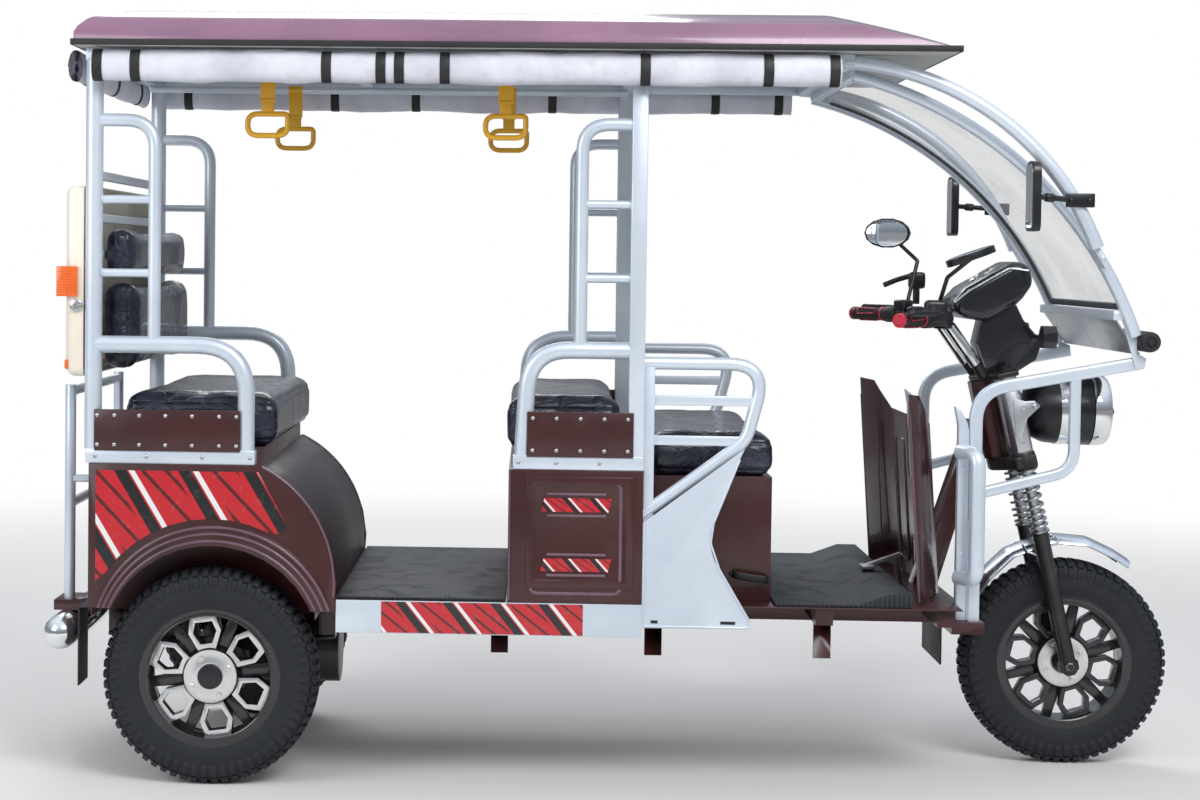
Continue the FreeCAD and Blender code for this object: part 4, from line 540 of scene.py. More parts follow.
class Palette:
    """The finishes of the record's slots, made once."""

    SLOTS = {
        Slot.TYRE: Grain("tyre_rubber", (0.006, 0.008, 0.012), (0.036, 0.038, 0.044), 0.62, 420.0, 0.0003, 0.28),
        Slot.ALLOY: Metal("polished_alloy", (0.80, 0.80, 0.79), (0.55, 0.55, 0.55), 0.24, (900.0, 60.0, 900.0)),
        Slot.BLACK_ALLOY: Paint("black_alloy", (0.009, 0.009, 0.010), (0.014, 0.014, 0.016), roughness=0.26,
                                coat=0.7, dust_share=0.05),
        Slot.MAROON: Paint("maroon_paint", (0.056, 0.013, 0.013), (0.040, 0.008, 0.009), roughness=0.32, coat=0.18,
                           dust_share=0.05),
        Slot.MAROON_PLASTIC: Paint("maroon_plastic", (0.058, 0.016, 0.020), (0.040, 0.011, 0.014), roughness=0.24,
                                   coat=0.5, dust_share=0.05),
        Slot.ROOF: Paint("roof_moulding", (0.285, 0.145, 0.235), (0.235, 0.115, 0.190), roughness=0.26, coat=0.6,
                         dust_share=0.04, peel=0.0006, peel_scale=22.0),
        Slot.LINING: Grain("roof_lining", (0.46, 0.46, 0.45), (0.30, 0.29, 0.27), 0.7, 260.0, 0.0004, 0.2),
        Slot.BLACK_STEEL: Paint("black_steel", (0.010, 0.010, 0.011), (0.017, 0.016, 0.016), roughness=0.42,
                                coat=0.2, dust_share=0.16),
        Slot.MAT: FootMat("floor_mat_rubber"),
        Slot.RUBBER: Grain("black_rubber", (0.013, 0.013, 0.014), (0.08, 0.075, 0.07), 0.55, 380.0, 0.0002, 0.2),
        Slot.SILVER: Paint("silver_paint", (0.72, 0.79, 0.88), (0.62, 0.69, 0.78), (0.34, 0.35, 0.36), metallic=0.35,
                           roughness=0.32, coat=0.3, peel=0.00012, dust_share=0.12),
        Slot.SHEET: Metal("alloy_sheet", (0.62, 0.64, 0.66), (0.42, 0.42, 0.42), 0.34, (60.0, 700.0, 300.0)),
        Slot.BRIGHT: Metal("bright_steel", (0.56, 0.57, 0.58), (0.34, 0.33, 0.32), 0.26),
        Slot.CHROME: Metal("chrome", (0.86, 0.87, 0.88), (0.62, 0.62, 0.63), 0.05, stain_share=0.15),
        Slot.CLEAR: ClearSheet("clear_sheet"),
        Slot.BLACK: Grain("black_plastic", (0.006, 0.006, 0.009), (0.03, 0.03, 0.034), 0.36, 600.0, 0.00012, 0.12,
                          0.25),
        Slot.CREAM: Paint("cream_moulding", (0.86, 0.81, 0.71), (0.80, 0.73, 0.61), roughness=0.36, coat=0.2,
                          dust_share=0.10),
        Slot.ORANGE: Lens("orange_lens", (0.90, 0.16, 0.012), (0.62, 0.075, 0.006)),
        Slot.YELLOW: Paint("yellow_plastic", (0.86, 0.45, 0.018), (0.78, 0.38, 0.012), roughness=0.30, coat=0.4,
                           dust_share=0.08),
        Slot.BATTERY: Grain("battery_case", (0.02, 0.02, 0.022), (0.10, 0.10, 0.10)),
        Slot.VINYL: WrappedVinyl("seat_vinyl"),
        Slot.CURTAIN: Weave("curtain_cloth", (0.90, 0.91, 0.99), (0.46, 0.46, 0.54)),
    }

    def __init__(self) -> None:
        """Makes the materials of all slots, and the floor's."""
        self.by_slot = {slot: finish.make() for slot, finish in self.SLOTS.items()}
        self.floor = Backdrop("studio_floor").make()

    def __getitem__(self, slot: Slot) -> bpy.types.Material:
        """The material of one slot."""
        return self.by_slot[slot]


def highlight_paint(name: str) -> bpy.types.Material:
    """Lighter maroon paint, a painted highlight along pressed edges and beads."""
    return Paint(name, (0.150, 0.082, 0.110), (0.100, 0.052, 0.070), roughness=0.24, coat=0.6, dust_share=0.04).make()


# Mesh making


class Work:
    """A mesh under way, in millimetres from the middle of the rear axle: X forward, Y left, Z up."""

    def __init__(self) -> None:
        """Starts empty."""
        self.bm = bmesh.new()

    def join(self, other: "Work", *places: Matrix) -> "Work":
        """Adds copies of another piece.

        Args:
            other: the piece to copy.
            places: one matrix for each copy; none adds it as it is.

        Returns:
            This piece.
        """
        for place in places or (Matrix(),):
            copy = bpy.data.meshes.new("copy")
            other.bm.to_mesh(copy)
            copy.transform(place)
            if place.determinant() < 0.0:
                copy.flip_normals()
            self.bm.from_mesh(copy)
            bpy.data.meshes.remove(copy)
        return self

    def plus(self, *others: "Work") -> "Work":
        """Adds other pieces as they are."""
        for other in others:
            self.join(other)
        return self

    def moved(self, place: Matrix) -> "Work":
        """Moves the whole piece by a matrix."""
        bmesh.ops.transform(self.bm, matrix=place, verts=self.bm.verts[:])
        if place.determinant() < 0.0:
            bmesh.ops.reverse_faces(self.bm, faces=self.bm.faces[:])
        return self

    def both_sides(self) -> "Work":
        """Adds the mirror image across the middle plane."""
        return self.join(self, MIRROR)

    def closed_up(self, gap: float = 0.002) -> "Work":
        """Joins points that coincide and turns the faces outwards."""
        bmesh.ops.remove_doubles(self.bm, verts=self.bm.verts[:], dist=gap)
        bmesh.ops.recalc_face_normals(self.bm, faces=self.bm.faces[:])
        return self

    def bevelled(self, width: float, segments: int = 2, over: float = 35.0) -> "Work":
        """Rounds the edges that are sharper than an angle.

        Args:
            width: how far in the round starts, in millimetres; 0 leaves them sharp.
            segments: faces across the round.
            over: the angle in degrees.

        Returns:
            This piece.
        """
        if width:
            edges = [e for e in self.bm.edges if e.is_manifold and e.calc_face_angle(0.0) > math.radians(over)]
            bmesh.ops.bevel(self.bm, geom=edges, offset=width, offset_type="OFFSET", segments=segments, profile=0.5,
                            affect="EDGES", clamp_overlap=True, material=-1)
        return self

    def mapped(self, name: str) -> "Work":
        """Gives an upright piece its own map in metres, read from X and Z."""
        chart = self.bm.loops.layers.uv.new(name)
        for loop in (loop for face in self.bm.faces for loop in face.loops):
            loop[chart].uv = loop.vert.co.xz * MM
        return self


def new_points(grown: dict) -> list[bmesh.types.BMVert]:
    """The points among what an operator made."""
    return [item for item in grown["geom"] if isinstance(item, bmesh.types.BMVert)]


def at(y: float, *corners: Pair) -> list[Point]:
    """Points on one upright plane, from their (x, z) corners."""
    return [(x, y, z) for x, z in corners]


def along(start: Point, end: Point) -> Matrix:
    """The place whose Z axis runs from one point towards another."""
    run = Vector(end) - Vector(start)
    return Matrix.Translation(Vector(start)) @ run.to_track_quat("Z", "Y").to_matrix().to_4x4()


def facing(point: Point, normal: Point) -> Matrix:
    """The place at a point whose Z axis looks along a normal."""
    return along(point, Vector(point) + Vector(normal))


def block(low: Point, high: Point, round_by: float = 0.0, segments: int = 2) -> Work:
    """A box between two corners, with its edges rounded."""
    work = Work()
    size, middle = Vector(high) - Vector(low), (Vector(high) + Vector(low)) / 2.0
    bmesh.ops.create_cube(work.bm, size=1.0, matrix=Matrix.Translation(middle) @ Matrix.Diagonal((*size, 1.0)))
    return work.bevelled(round_by, segments)


def turned(profile: Sequence[Pair], place: Matrix = Matrix(), steps: int = 64, ring: bool = False) -> Work:
    """A turned shape.

    Args:
        profile: (radius, height) points, spun about the local Z axis.
        place: where the local axes lie.
        steps: flat faces in a turn.
        ring: closes the outline from its last point to its first.

    Returns:
        The closed shape.
    """
    work = Work()
    points = [work.bm.verts.new((radius, 0.0, height)) for radius, height in profile]
    pairs = list(zip(points, points[1:])) + ([(points[-1], points[0])] if ring else [])
    edges = [work.bm.edges.new(pair) for pair in pairs]
    bmesh.ops.spin(work.bm, geom=points + edges, cent=(0, 0, 0), axis=(0, 0, 1), dvec=(0, 0, 0),
                   angle=WHOLE_TURN, steps=steps, use_merge=True, use_normal_flip=False, use_duplicate=False)
    return work.closed_up().moved(place)


def rod(start: Point, end: Point, radius: float, steps: int = 24, round_by: float = 0.0) -> Work:
    """A round bar between two points, with its ends rounded over."""
    length = (Vector(end) - Vector(start)).length
    turns = [math.radians(30.0 * k) for k in range(0 if round_by else 3, 4)]
    foot = [(radius - round_by * (1.0 - math.sin(t)), round_by * (1.0 - math.cos(t))) for t in turns]
    head = [(r, length - z) for r, z in reversed(foot)]
    return turned([(0.0, 0.0), *foot, *head, (0.0, length)], along(start, end), steps)


def prism(outline: Sequence[Point], depth: Point, round_by: float = 0.0, segments: int = 2,
          window: Sequence[Point] = ()) -> Work:
    """A flat outline drawn out along a vector, with a window if one is given.

    Args:
        outline: the corners in order.
        depth: the vector from one face to the other.
        round_by: how much its edges are rounded.
        segments: faces across the round.
        window: the corners of a hole, as many as the outline has.

    Returns:
        The closed shape.
    """
    work = Work()
    loops = []
    for corners in (outline, window) if window else (outline,):
        points = [work.bm.verts.new(corner) for corner in corners]
        loops.append([work.bm.edges.new(pair) for pair in zip(points, points[1:] + points[:1])])
    if window:
        faces = bmesh.ops.bridge_loops(work.bm, edges=loops[0] + loops[1])["faces"]
    else:
        faces = bmesh.ops.contextual_create(work.bm, geom=loops[0])["faces"]
    grown = bmesh.ops.extrude_face_region(work.bm, geom=faces, use_keep_orig=True)
    bmesh.ops.translate(work.bm, vec=Vector(depth), verts=new_points(grown))
    return work.closed_up().bevelled(round_by, segments)


def rounded(corners: Sequence[Point], bend: float, steps: int = 8) -> list[Vector]:
    """A line through corners, with each inner one rounded to a radius in so many steps."""
    points = [Vector(corner) for corner in corners]
    path = [points[0]]
    for before, corner, after in zip(points, points[1:], points[2:]):
        back, on = before - corner, after - corner
        cut = min(bend / math.tan(back.angle(on) / 2.0), 0.48 * back.length, 0.48 * on.length)
        start, end = corner + back.normalized() * cut, corner + on.normalized() * cut
        for t in (k / steps for k in range(steps + 1)):
            path.append(start.lerp(corner, t).lerp(corner.lerp(end, t), t))
    return path + [points[-1]]


def through(first: Pair, middle: Pair, last: Pair, y: float, steps: int = 28) -> list[Vector]:
    """Points of the circle's arc through three (x, z) places, on one plane.

    Args:
        first: where the arc starts.
        middle: a place on the way.
        last: where it ends.
        y: the plane.
        steps: pieces of the arc.

    Returns:
        The points in order.
    """
    (ax, az), (bx, bz), (cx, cz) = first, middle, last
    double = 2.0 * (ax * (bz - cz) + bx * (cz - az) + cx * (az - bz))
    squares = [x * x + z * z for x, z in (first, middle, last)]
    ux = (squares[0] * (bz - cz) + squares[1] * (cz - az) + squares[2] * (az - bz)) / double
    uz = (squares[0] * (cx - bx) + squares[1] * (ax - cx) + squares[2] * (bx - ax)) / double
    start, end = (math.atan2(z - uz, x - ux) for x, z in (first, last))
    radius = math.hypot(ax - ux, az - uz)
    turns = [start + (end - start) * k / steps for k in range(steps + 1)]
    return [Vector((ux + radius * math.cos(t), y, uz + radius * math.sin(t))) for t in turns]


def squared(half_u: float, half_v: float, round_by: float) -> list[Pair]:
    """Corners of a rectangle with rounded corners, for a swept section."""
    ring = []
    for su, sv, turn in ((1, 1, 0), (-1, 1, 90), (-1, -1, 180), (1, -1, 270)):
        for angle in (math.radians(turn + 30.0 * k) for k in range(4)):
            ring.append((su * (half_u - round_by) + round_by * math.cos(angle),
                         sv * (half_v - round_by) + round_by * math.sin(angle)))
    return ring


def tube(path: Sequence[Point], radius: float = 1.0, sides: int = 16, loop: bool = False, flat: float = 1.0,
         normal: Optional[Vector] = None, section: Sequence[Pair] = ()) -> Work:
    """A tube swept along a path.

    Args:
        path: the points of its middle line.
        radius: its radius across the local X axis.
        sides: faces round it.
        loop: joins the last point to the first.
        flat: the radius across the local Y axis as a share of the first.
        normal: the direction that the local X axis keeps near.
        section: corners of another cross-section, times the radius.

    Returns:
        The tube, with its ends capped.
    """
    work = Work()
    points = [Vector(point) for point in path]
    count = len(points)
    places = []
    side = None
    for k, point in enumerate(points):
        before = points[k - 1] if k or loop else points[0]
        after = points[(k + 1) % count] if k < count - 1 or loop else points[-1]
        run = (after - before).normalized()
        if side is None:
            side = normal or (UP if abs(run.z) < 0.9 else AHEAD)
        side = (side - run * side.dot(run)).normalized()
        turn = Matrix((side, run.cross(side), run)).transposed().to_4x4()
        places.append(Matrix.Translation(point) @ turn @ Matrix.Diagonal((1.0, flat, 1.0, 1.0)))
    ring = bmesh.ops.create_circle(work.bm, cap_ends=False, radius=radius, segments=len(section) or sides)["verts"]
    for point, (across, out) in zip(ring, section):
        point.co = Vector((across, out, 0.0)) * radius
    bmesh.ops.transform(work.bm, matrix=places[0], verts=ring)
    edges = list({edge for point in ring for edge in point.link_edges})
    first = edges
    for before, after in zip(places, places[1:]):
        grown = bmesh.ops.extrude_edge_only(work.bm, edges=edges)
        fresh = set(new_points(grown))
        bmesh.ops.transform(work.bm, matrix=after @ before.inverted(), verts=list(fresh))
        edges = [item for item in grown["geom"] if isinstance(item, bmesh.types.BMEdge) and set(item.verts) <= fresh]
    if loop:
        bmesh.ops.bridge_loops(work.bm, edges=first + edges)
    else:
        for end in (first, edges):
            bmesh.ops.contextual_create(work.bm, geom=end)
    return work.closed_up()


def dome_heads(radius: float, height: float, points: Iterable[Point], way: Vector = RIGHT) -> Work:
    """Rivet or screw heads of one size, one at each point, all facing one way."""
    head = turned([(radius, -0.5), (radius, 0.15 * height), (0.82 * radius, 0.62 * height),
                   (0.45 * radius, 0.92 * height), (0.0, height)], steps=10)
    return Work().join(head, *[facing(point, way) for point in points])


# Carried-over solids


class Frame:
    """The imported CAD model: its nodes, their bodies and slots, and what stands for them."""

    def __init__(self, loaded: dict, palette: Palette) -> None:
        """Keeps what each node rides on and which slot it has.

        Args:
            palette: the finishes.
        """
        self.nodes = loaded["nodes"]
        self.palette = palette
        self.done: set[str] = set()
        record = loaded["record"]
        self.body = {node: Body(name) for name, nodes in record["behaviour"]["bodies"].items() for node in nodes}
        self.slot = {part["node"]: Slot(part["material_slot"]) for part in record["subparts"]}

    def add(self, name: str, work: Work, body: Body, slot: Optional[Slot] = None, node: str = "",
            smooth: float = PANEL_SMOOTH, finish: Any = None) -> bpy.types.Object:
        """Ends a piece as an object on one body.

        Args:
            name: the object's name.
            work: its mesh.
            body: the body that it rides on.
            slot: the record's slot that its finish belongs to, if any.
            node: the CAD node that it stands for, if any.
            smooth: edges flatter than this many degrees are shaded smooth.
            finish: a material other than its slot's.

        Returns:
            The new object.
        """
        bmesh.ops.transform(work.bm, matrix=TO_FRAME, verts=work.bm.verts[:])
        mesh = bpy.data.meshes.new(name)
        work.bm.to_mesh(mesh)
        work.bm.free()
        mesh.materials.append(finish or self.palette[slot])
        mesh.shade_smooth()
        mesh.set_sharp_from_angle(angle=math.radians(smooth))
        piece = bpy.data.objects.new(name, mesh)
        bpy.context.scene.collection.objects.link(piece)
        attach(piece, body.value)
        if node:
            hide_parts(node)
            self.done.add(node)
        LOG.info("%s: %d faces on %s", name, len(mesh.polygons), body.value)
        return piece

    def refined(self, node: str, width: float = 0.8, over: float = 50.0, finish: Any = None,
                segments: int = 2) -> None:
        """Replaces a node by a copy with merged faces, softened edges and smooth shading.

        Args:
            node: the CAD node.
            width: how much the sharp edges are rounded, in millimetres.
            over: edges sharper than this many degrees are rounded.
            finish: a material other than its slot's.
            segments: faces across each round.
        """
        work = Work()
        work.bm.from_mesh(self.nodes[node].data)
        work.moved(TO_FRAME.inverted())
        bmesh.ops.remove_doubles(work.bm, verts=work.bm.verts[:], dist=0.01)
        bmesh.ops.dissolve_limit(work.bm, angle_limit=math.radians(0.6), verts=work.bm.verts[:],
                                 edges=work.bm.edges[:], use_dissolve_boundaries=False, delimit=set())
        work.bevelled(width, segments, over)
        self.add("fine_" + node, work, self.body[node], self.slot[node], node, 50.0, finish)

    def rest(self, hidden: str = "battery_pack") -> None:
        """Refines every node that no piece stands for, but only paints the one that nothing shows."""
        for name in sorted(set(self.nodes) - self.done):
            if name == hidden:
                materials = self.nodes[name].data.materials
                materials.clear()
                materials.append(self.palette[self.slot[name]])
            else:
                self.refined(name)


@dataclass(frozen=True)
class Assembly:
    """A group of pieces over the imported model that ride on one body, unless a piece says otherwise."""

    frame: Frame
    body: Body

    def add(self, name: str, work: Work, slot: Optional[Slot] = None, node: str = "", smooth: float = PANEL_SMOOTH,
            finish: Any = None, body: Optional[Body] = None) -> bpy.types.Object:
        """Ends a piece, as the frame's own method does."""
        return self.frame.add(name, work, body or self.body, slot, node, smooth, finish)


# Wheels


@dataclass(frozen=True)
class Wheel(Assembly):
    """A lugged tyre on an alloy rim with six hexagonal petals; nodes has {} for "tyre" or "rim"."""

    nodes: str
    centre: Point
    face: int = -1
    bright: bool = True
    clock: float = -8.0
    lugs: int = 62
    lug_share: float = 0.33
    tread_r: float = 235.0
    slant: float = 16.0
    petals: int = 6
    cap_r: float = 29.0
    bolt_circle: float = 48.0

    @property
    def place(self) -> Matrix:
        """The wheel's place: local Z runs out of its bright face."""
        flip = Matrix.Diagonal((1.0, float(-self.face), 1.0, 1.0))
        return Matrix.Translation(self.centre) @ flip @ Matrix.Rotation(math.radians(90.0), 4, "X")

    def tyre(self) -> None:
        """Builds the carcass with its shoulder lugs and tread blocks."""
        side = [(153.5, 37), (157, 40.5), (165, 43), (168, 44.6), (171, 44.4), (173, 45.4), (188, 46.6), (203, 47.4),
                (206, 46.8), (214, 46.2), (228, 43.6), (238, 38), (244.5, 29), (247, 15)]
        carcass = turned([(r, -h) for r, h in side] + side[::-1], steps=124, ring=True)
        pitch = WHOLE_TURN / self.lugs
        half = self.lug_share * pitch * self.tread_r
        unit = Work().plus(*[prism(at(-half, *corners), (0, 2.0 * half, 0), 1.6, 1) for corners in (
            ((205, 44), (207, 47.6), (221, 48), (235, 44.6), (235.5, 36)),
            ((237.5, 34), (238, 43.2), (246.5, 36.5), (252.6, 25.5), (253.4, 14), (244, 14)))])
        crown = block((244, -half * 0.92, -11), (253.5, half * 0.92, 11), 1.4, 1)
        crown.moved(Matrix.Rotation(math.radians(self.slant), 4, "X"))
        turns = [Matrix.Rotation(k * pitch, 4, "Z") for k in range(self.lugs)]
        other = Matrix.Rotation(pitch / 2.0, 4, "Z") @ Matrix.Diagonal((1.0, 1.0, -1.0, 1.0))
        carcass.join(unit, *turns, *[turn @ other for turn in turns]).join(crown, *turns)
        node = self.nodes.format("tyre")
        self.add("lugged_" + node, carcass.moved(self.place), Slot.TYRE, node, 32.0)

    def petal(self, half: float, low: float, high: float, round_by: float) -> Work:
        """One hexagonal petal frame, standing along local X at the top of the wheel.

        Args:
            half: how much wider than its outline it is, in millimetres.
            low: where its inner face lies along the axle.
            high: where its outer face lies.
            round_by: how much its edges are rounded.

        Returns:
            The petal.
        """
        outer = [(61, 21 + half), (104, 39.5 + half), (143.5, 30 + half)]
        inner = [(76, 13.5 - half), (104, 27 - half), (127.5, 19.5 - half)]
        rim, gap = ([(r, -w, low) for r, w in line] + [(r, w, low) for r, w in line[::-1]] for line in (outer, inner))
        return prism(rim, (0, 0, high - low), round_by, 2, gap)

    def rim(self) -> None:
        """Builds barrel, spokes, petals, hub, bolts and cap."""
        node = self.nodes.format("rim")
        rear = self.body is not Body.FRONT_WHEEL
        pitch = WHOLE_TURN / self.petals
        turns = [Matrix.Rotation(math.radians(90.0 - self.clock) + k * pitch, 4, "Z") for k in range(self.petals)]
        barrel = turned([(143, 43), (146, 44.4), (150, 42.8), (154, 43.6), (163, 43.9), (166, 43), (165.5, 40),
                         (156, 37.6), (152.2, 36.5), (152.2, 20), (149, 12), (149, -12), (152.2, -20), (152.2, -36.5),
                         (163, -40), (166, -43.9), (146, -44.4), (143, -43), (143.2, -10), (141, 2), (143.2, 14),
                         (141.8, 28)], steps=96, ring=True)
        spoke = prism([(58, -17, -8), (144, -11, -8), (144, 11, -8), (58, 17, -8)], (0, 0, 18), 3.0)
        barrel.join(spoke, *[turn @ Matrix.Rotation(pitch / 2.0, 4, "Z") for turn in turns])
        barrel.join(self.petal(0.0, -6.0, 24.6, 2.0), *turns)
        barrel.join(turned([(0, -34), (60, -34), (62, -30), (62, 24), (66, 27), (63, 31), (0, 31)]))
        if rear:
            barrel.join(turned([(0, -56), (74, -56), (82, -50), (82, -34), (78, -32), (0, -32)]))
        self.add("dished_" + node, barrel.moved(self.place), Slot.BLACK_ALLOY, node)
        disc = turned([(self.cap_r - 1, 30), (self.cap_r - 1, 33), (34, 34), (36, 33.2), (57, 33.6), (61.5, 34),
                       (62.5, 33), (62.5, 30)], steps=72, ring=True)
        bolt = turned([(6, 33.4), (6, 37), (4.8, 38.6), (0, 38.6)], steps=6)
        bolt.join(turned([(8, 33.2), (8, 34.6), (0, 34.6)], steps=20))
        spots = [Matrix.Rotation(math.radians(117.0 + 90.0 * k), 4, "Z") for k in range(4)]
        disc.join(bolt, *[spot @ Matrix.Translation((self.bolt_circle, 0, 0)) for spot in spots])
        if self.bright:
            disc.join(self.petal(-0.7, 24.4, 26.0, 0.5), *turns)
        self.add("bright_" + node, disc.moved(self.place), Slot.ALLOY)
        if rear:
            cap = turned([(self.cap_r, 31), (self.cap_r, 38.5), (26.5, 41.6), (20, 42.6), (19, 41.6), (9, 42.4),
                          (0, 42.8)], steps=48)
            self.add("cap_" + node, cap.moved(self.place), Slot.BLACK)

    def build(self) -> None:
        """Builds the wheel."""
        self.tyre()
        self.rim()


# Soft goods


def applied(piece: bpy.types.Object) -> bpy.types.Mesh:
    """The mesh that an object shows with its modifiers."""
    return bpy.data.meshes.new_from_object(piece.evaluated_get(bpy.context.evaluated_depsgraph_get()))


@dataclass(frozen=True)
class Pad:
    """A foam pad under stretched vinyl and creased clear film."""

    name: str
    node: str
    low: Point
    high: Point
    seams: tuple[tuple[int, float], ...]
    back: int = 2
    voxel: float = 0.009
    cap: float = 0.011
    round_by: float = 26.0
    inset: float = 6.0
    pressure: float = 5.0
    frames: int = 20
    seam_deep: float = 4.2
    seam_half: float = 4.0
    deepest: float = 4.6
    crease: float = 1.6

    def swollen(self, start: Work) -> Work:
        """Blows the pad up as cloth, within a cap, and smooths it.

        Args:
            start: the closed pad, a little smaller than it ends.

        Returns:
            The bulged pad.
        """
        mesh = bpy.data.meshes.new("pad_start")
        start.moved(TO_FRAME).bm.to_mesh(mesh)
        pad = bpy.data.objects.new("pad_start", mesh)
        bpy.context.scene.collection.objects.link(pad)
        grid = pad.modifiers.new("grid", "REMESH")
        grid.mode, grid.voxel_size = "VOXEL", self.voxel
        pad.data = applied(pad)
        pad.modifiers.clear()
        rest = [point.co.copy() for point in pad.data.vertices]
        cloth = pad.modifiers.new("swell", "CLOTH").settings
        cloth.quality = 4
        cloth.use_pressure = True
        cloth.uniform_pressure_force = self.pressure
        cloth.effector_weights.gravity = 0.0
        for frame in range(1, self.frames + 1):
            bpy.context.scene.frame_set(frame)
        pad.data = applied(pad)
        pad.modifiers.clear()
        bpy.context.scene.frame_set(1)
        for point, before in zip(pad.data.vertices, rest):
            move = point.co - before
            point.co = before + move.normalized() * min(move.length, self.cap)
        pad.modifiers.new("smooth", "SUBSURF").levels = 1
        work = Work()
        work.bm.from_mesh(applied(pad))
        bpy.data.objects.remove(pad)
        return work.moved(TO_FRAME.inverted())

    def build(self, frame: Frame) -> None:
        """Builds the pad, sews its seams and holds its back flat.

        Args:
            frame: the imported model.
        """
        low, high, inset = Vector(self.low), Vector(self.high), Vector((self.inset,) * 3)
        work = self.swollen(block(low + inset, high - inset, self.round_by, 4))
        for point in work.bm.verts:
            depth = sum(self.seam_deep * math.exp(-((point.co[axis] - level) / self.seam_half) ** 2)
                        for axis, level in self.seams)
            inward = (low + high) / 2.0 - point.co
            inward[self.seams[0][0]] = 0.0
            wave = noise.noise(point.co * 0.013) + 0.6 * noise.noise(point.co * Vector((0.03, 0.011, 0.03)))
            point.co += inward.normalized() * min(depth, self.deepest) + point.normal * self.crease * wave
            point.co[self.back] = max(point.co[self.back], low[self.back] + 0.4)
        piece = frame.add("padded_" + self.name, work, Body.VEHICLE, Slot.VINYL, self.node, 70.0)


@dataclass(frozen=True)
class Roll:
    """A rain curtain of woven cloth, rolled up under the roof's edge."""

    name: str
    start: Point
    end: Point
    half: Pair
    straps: tuple[float, ...]
    seed: float
    cells: tuple[int, int]
    turns: float = 5.5
    core: float = 0.30
    strap_wide: float = 24.0
    lumps: Pair = (0.10, 0.07)
    fat: float = 0.90
    tied: float = 0.055
    tie_half: float = 40.0

    @property
    def run(self) -> Vector:
        """The way from one end to the other."""
        return Vector(self.end) - Vector(self.start)

    def loose(self, share: float, turn: float) -> float:
        """How much fatter the roll is at a place, pinched under its straps.

        Args:
            share: how far along the roll, from 0 to 1.
            turn: the angle round it, in radians.

        Returns:
            A factor near 1.
        """
        place = share * self.run.length
        lump, fine = (noise.noise(Vector((place * pitch + self.seed, math.cos(turn) * across, math.sin(turn) * across)))
                      for pitch, across in ((0.006, 0.7), (0.02, 1.7)))
        pinch = min(sum(math.exp(-((place - strap) / self.tie_half) ** 2) for strap in self.straps), 1.0)
        swell = self.lumps[0] * lump + self.lumps[1] * fine
        return self.fat + swell * (1.0 - 0.6 * pinch) - self.tied * pinch

    def spot(self, share: float, wound: float, out: float = 0.0) -> Vector:
        """A point of the rolled cloth, or of something laid over its outside.

        Args:
            share: how far along the roll, from 0 to 1.
            wound: turns from the core outwards.
            out: how far outside the cloth, in millimetres.

        Returns:
            The point.
        """
        side = self.run.normalized().cross(UP).normalized()
        turn = WHOLE_TURN * wound
        scale = (self.core + (1.0 - self.core) * wound / self.turns) * self.loose(share, turn)
        wide, tall = (half * scale + out for half in self.half)
        return Vector(self.start).lerp(Vector(self.end), share) + (side * math.cos(turn) * wide +
                                                                   UP * math.sin(turn) * tall)

    def build(self, frame: Frame) -> None:
        """Winds the cloth and ties its straps.

        Args:
            frame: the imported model.
        """
        length = self.run.length
        work = Work()
        bmesh.ops.create_grid(work.bm, x_segments=self.cells[0], y_segments=self.cells[1], size=0.5, calc_uvs=True)
        chart = work.bm.loops.layers.uv.verify()
        round_mean = WHOLE_TURN * math.sqrt((self.half[0] ** 2 + self.half[1] ** 2) / 2.0)
        wide = (self.core + 1.0) / 2.0 * self.fat * round_mean * self.turns
        for loop in (loop for face in work.bm.faces for loop in face.loops):
            loop[chart].uv = ((loop.vert.co.x + 0.5) * length * MM, (loop.vert.co.y + 0.5) * wide * MM)
        for point in work.bm.verts:
            point.co = self.spot(point.co.x + 0.5, (point.co.y + 0.5) * self.turns)
        piece = frame.add("rolled_" + self.name, work, Body.VEHICLE, Slot.CURTAIN, "curtain_rolls", 80.0)
        piece.data.uv_layers[0].name = "cloth"
        bands = Work()
        for place in self.straps:
            ring = [self.spot(place / length, self.turns - 1.0 + k / 28.0, 1.3) for k in range(28)]
            ring = [p.lerp((p + q) / 2.0, 0.5) for p, q in zip(ring, ring[1:] + ring[:1])]
            bands.join(tube(ring, self.strap_wide / 2.0, 10, loop=True, flat=0.10, normal=self.run.normalized()))
        frame.add("straps_" + self.name, bands, Body.VEHICLE, Slot.RUBBER, smooth=ROUND_SMOOTH)


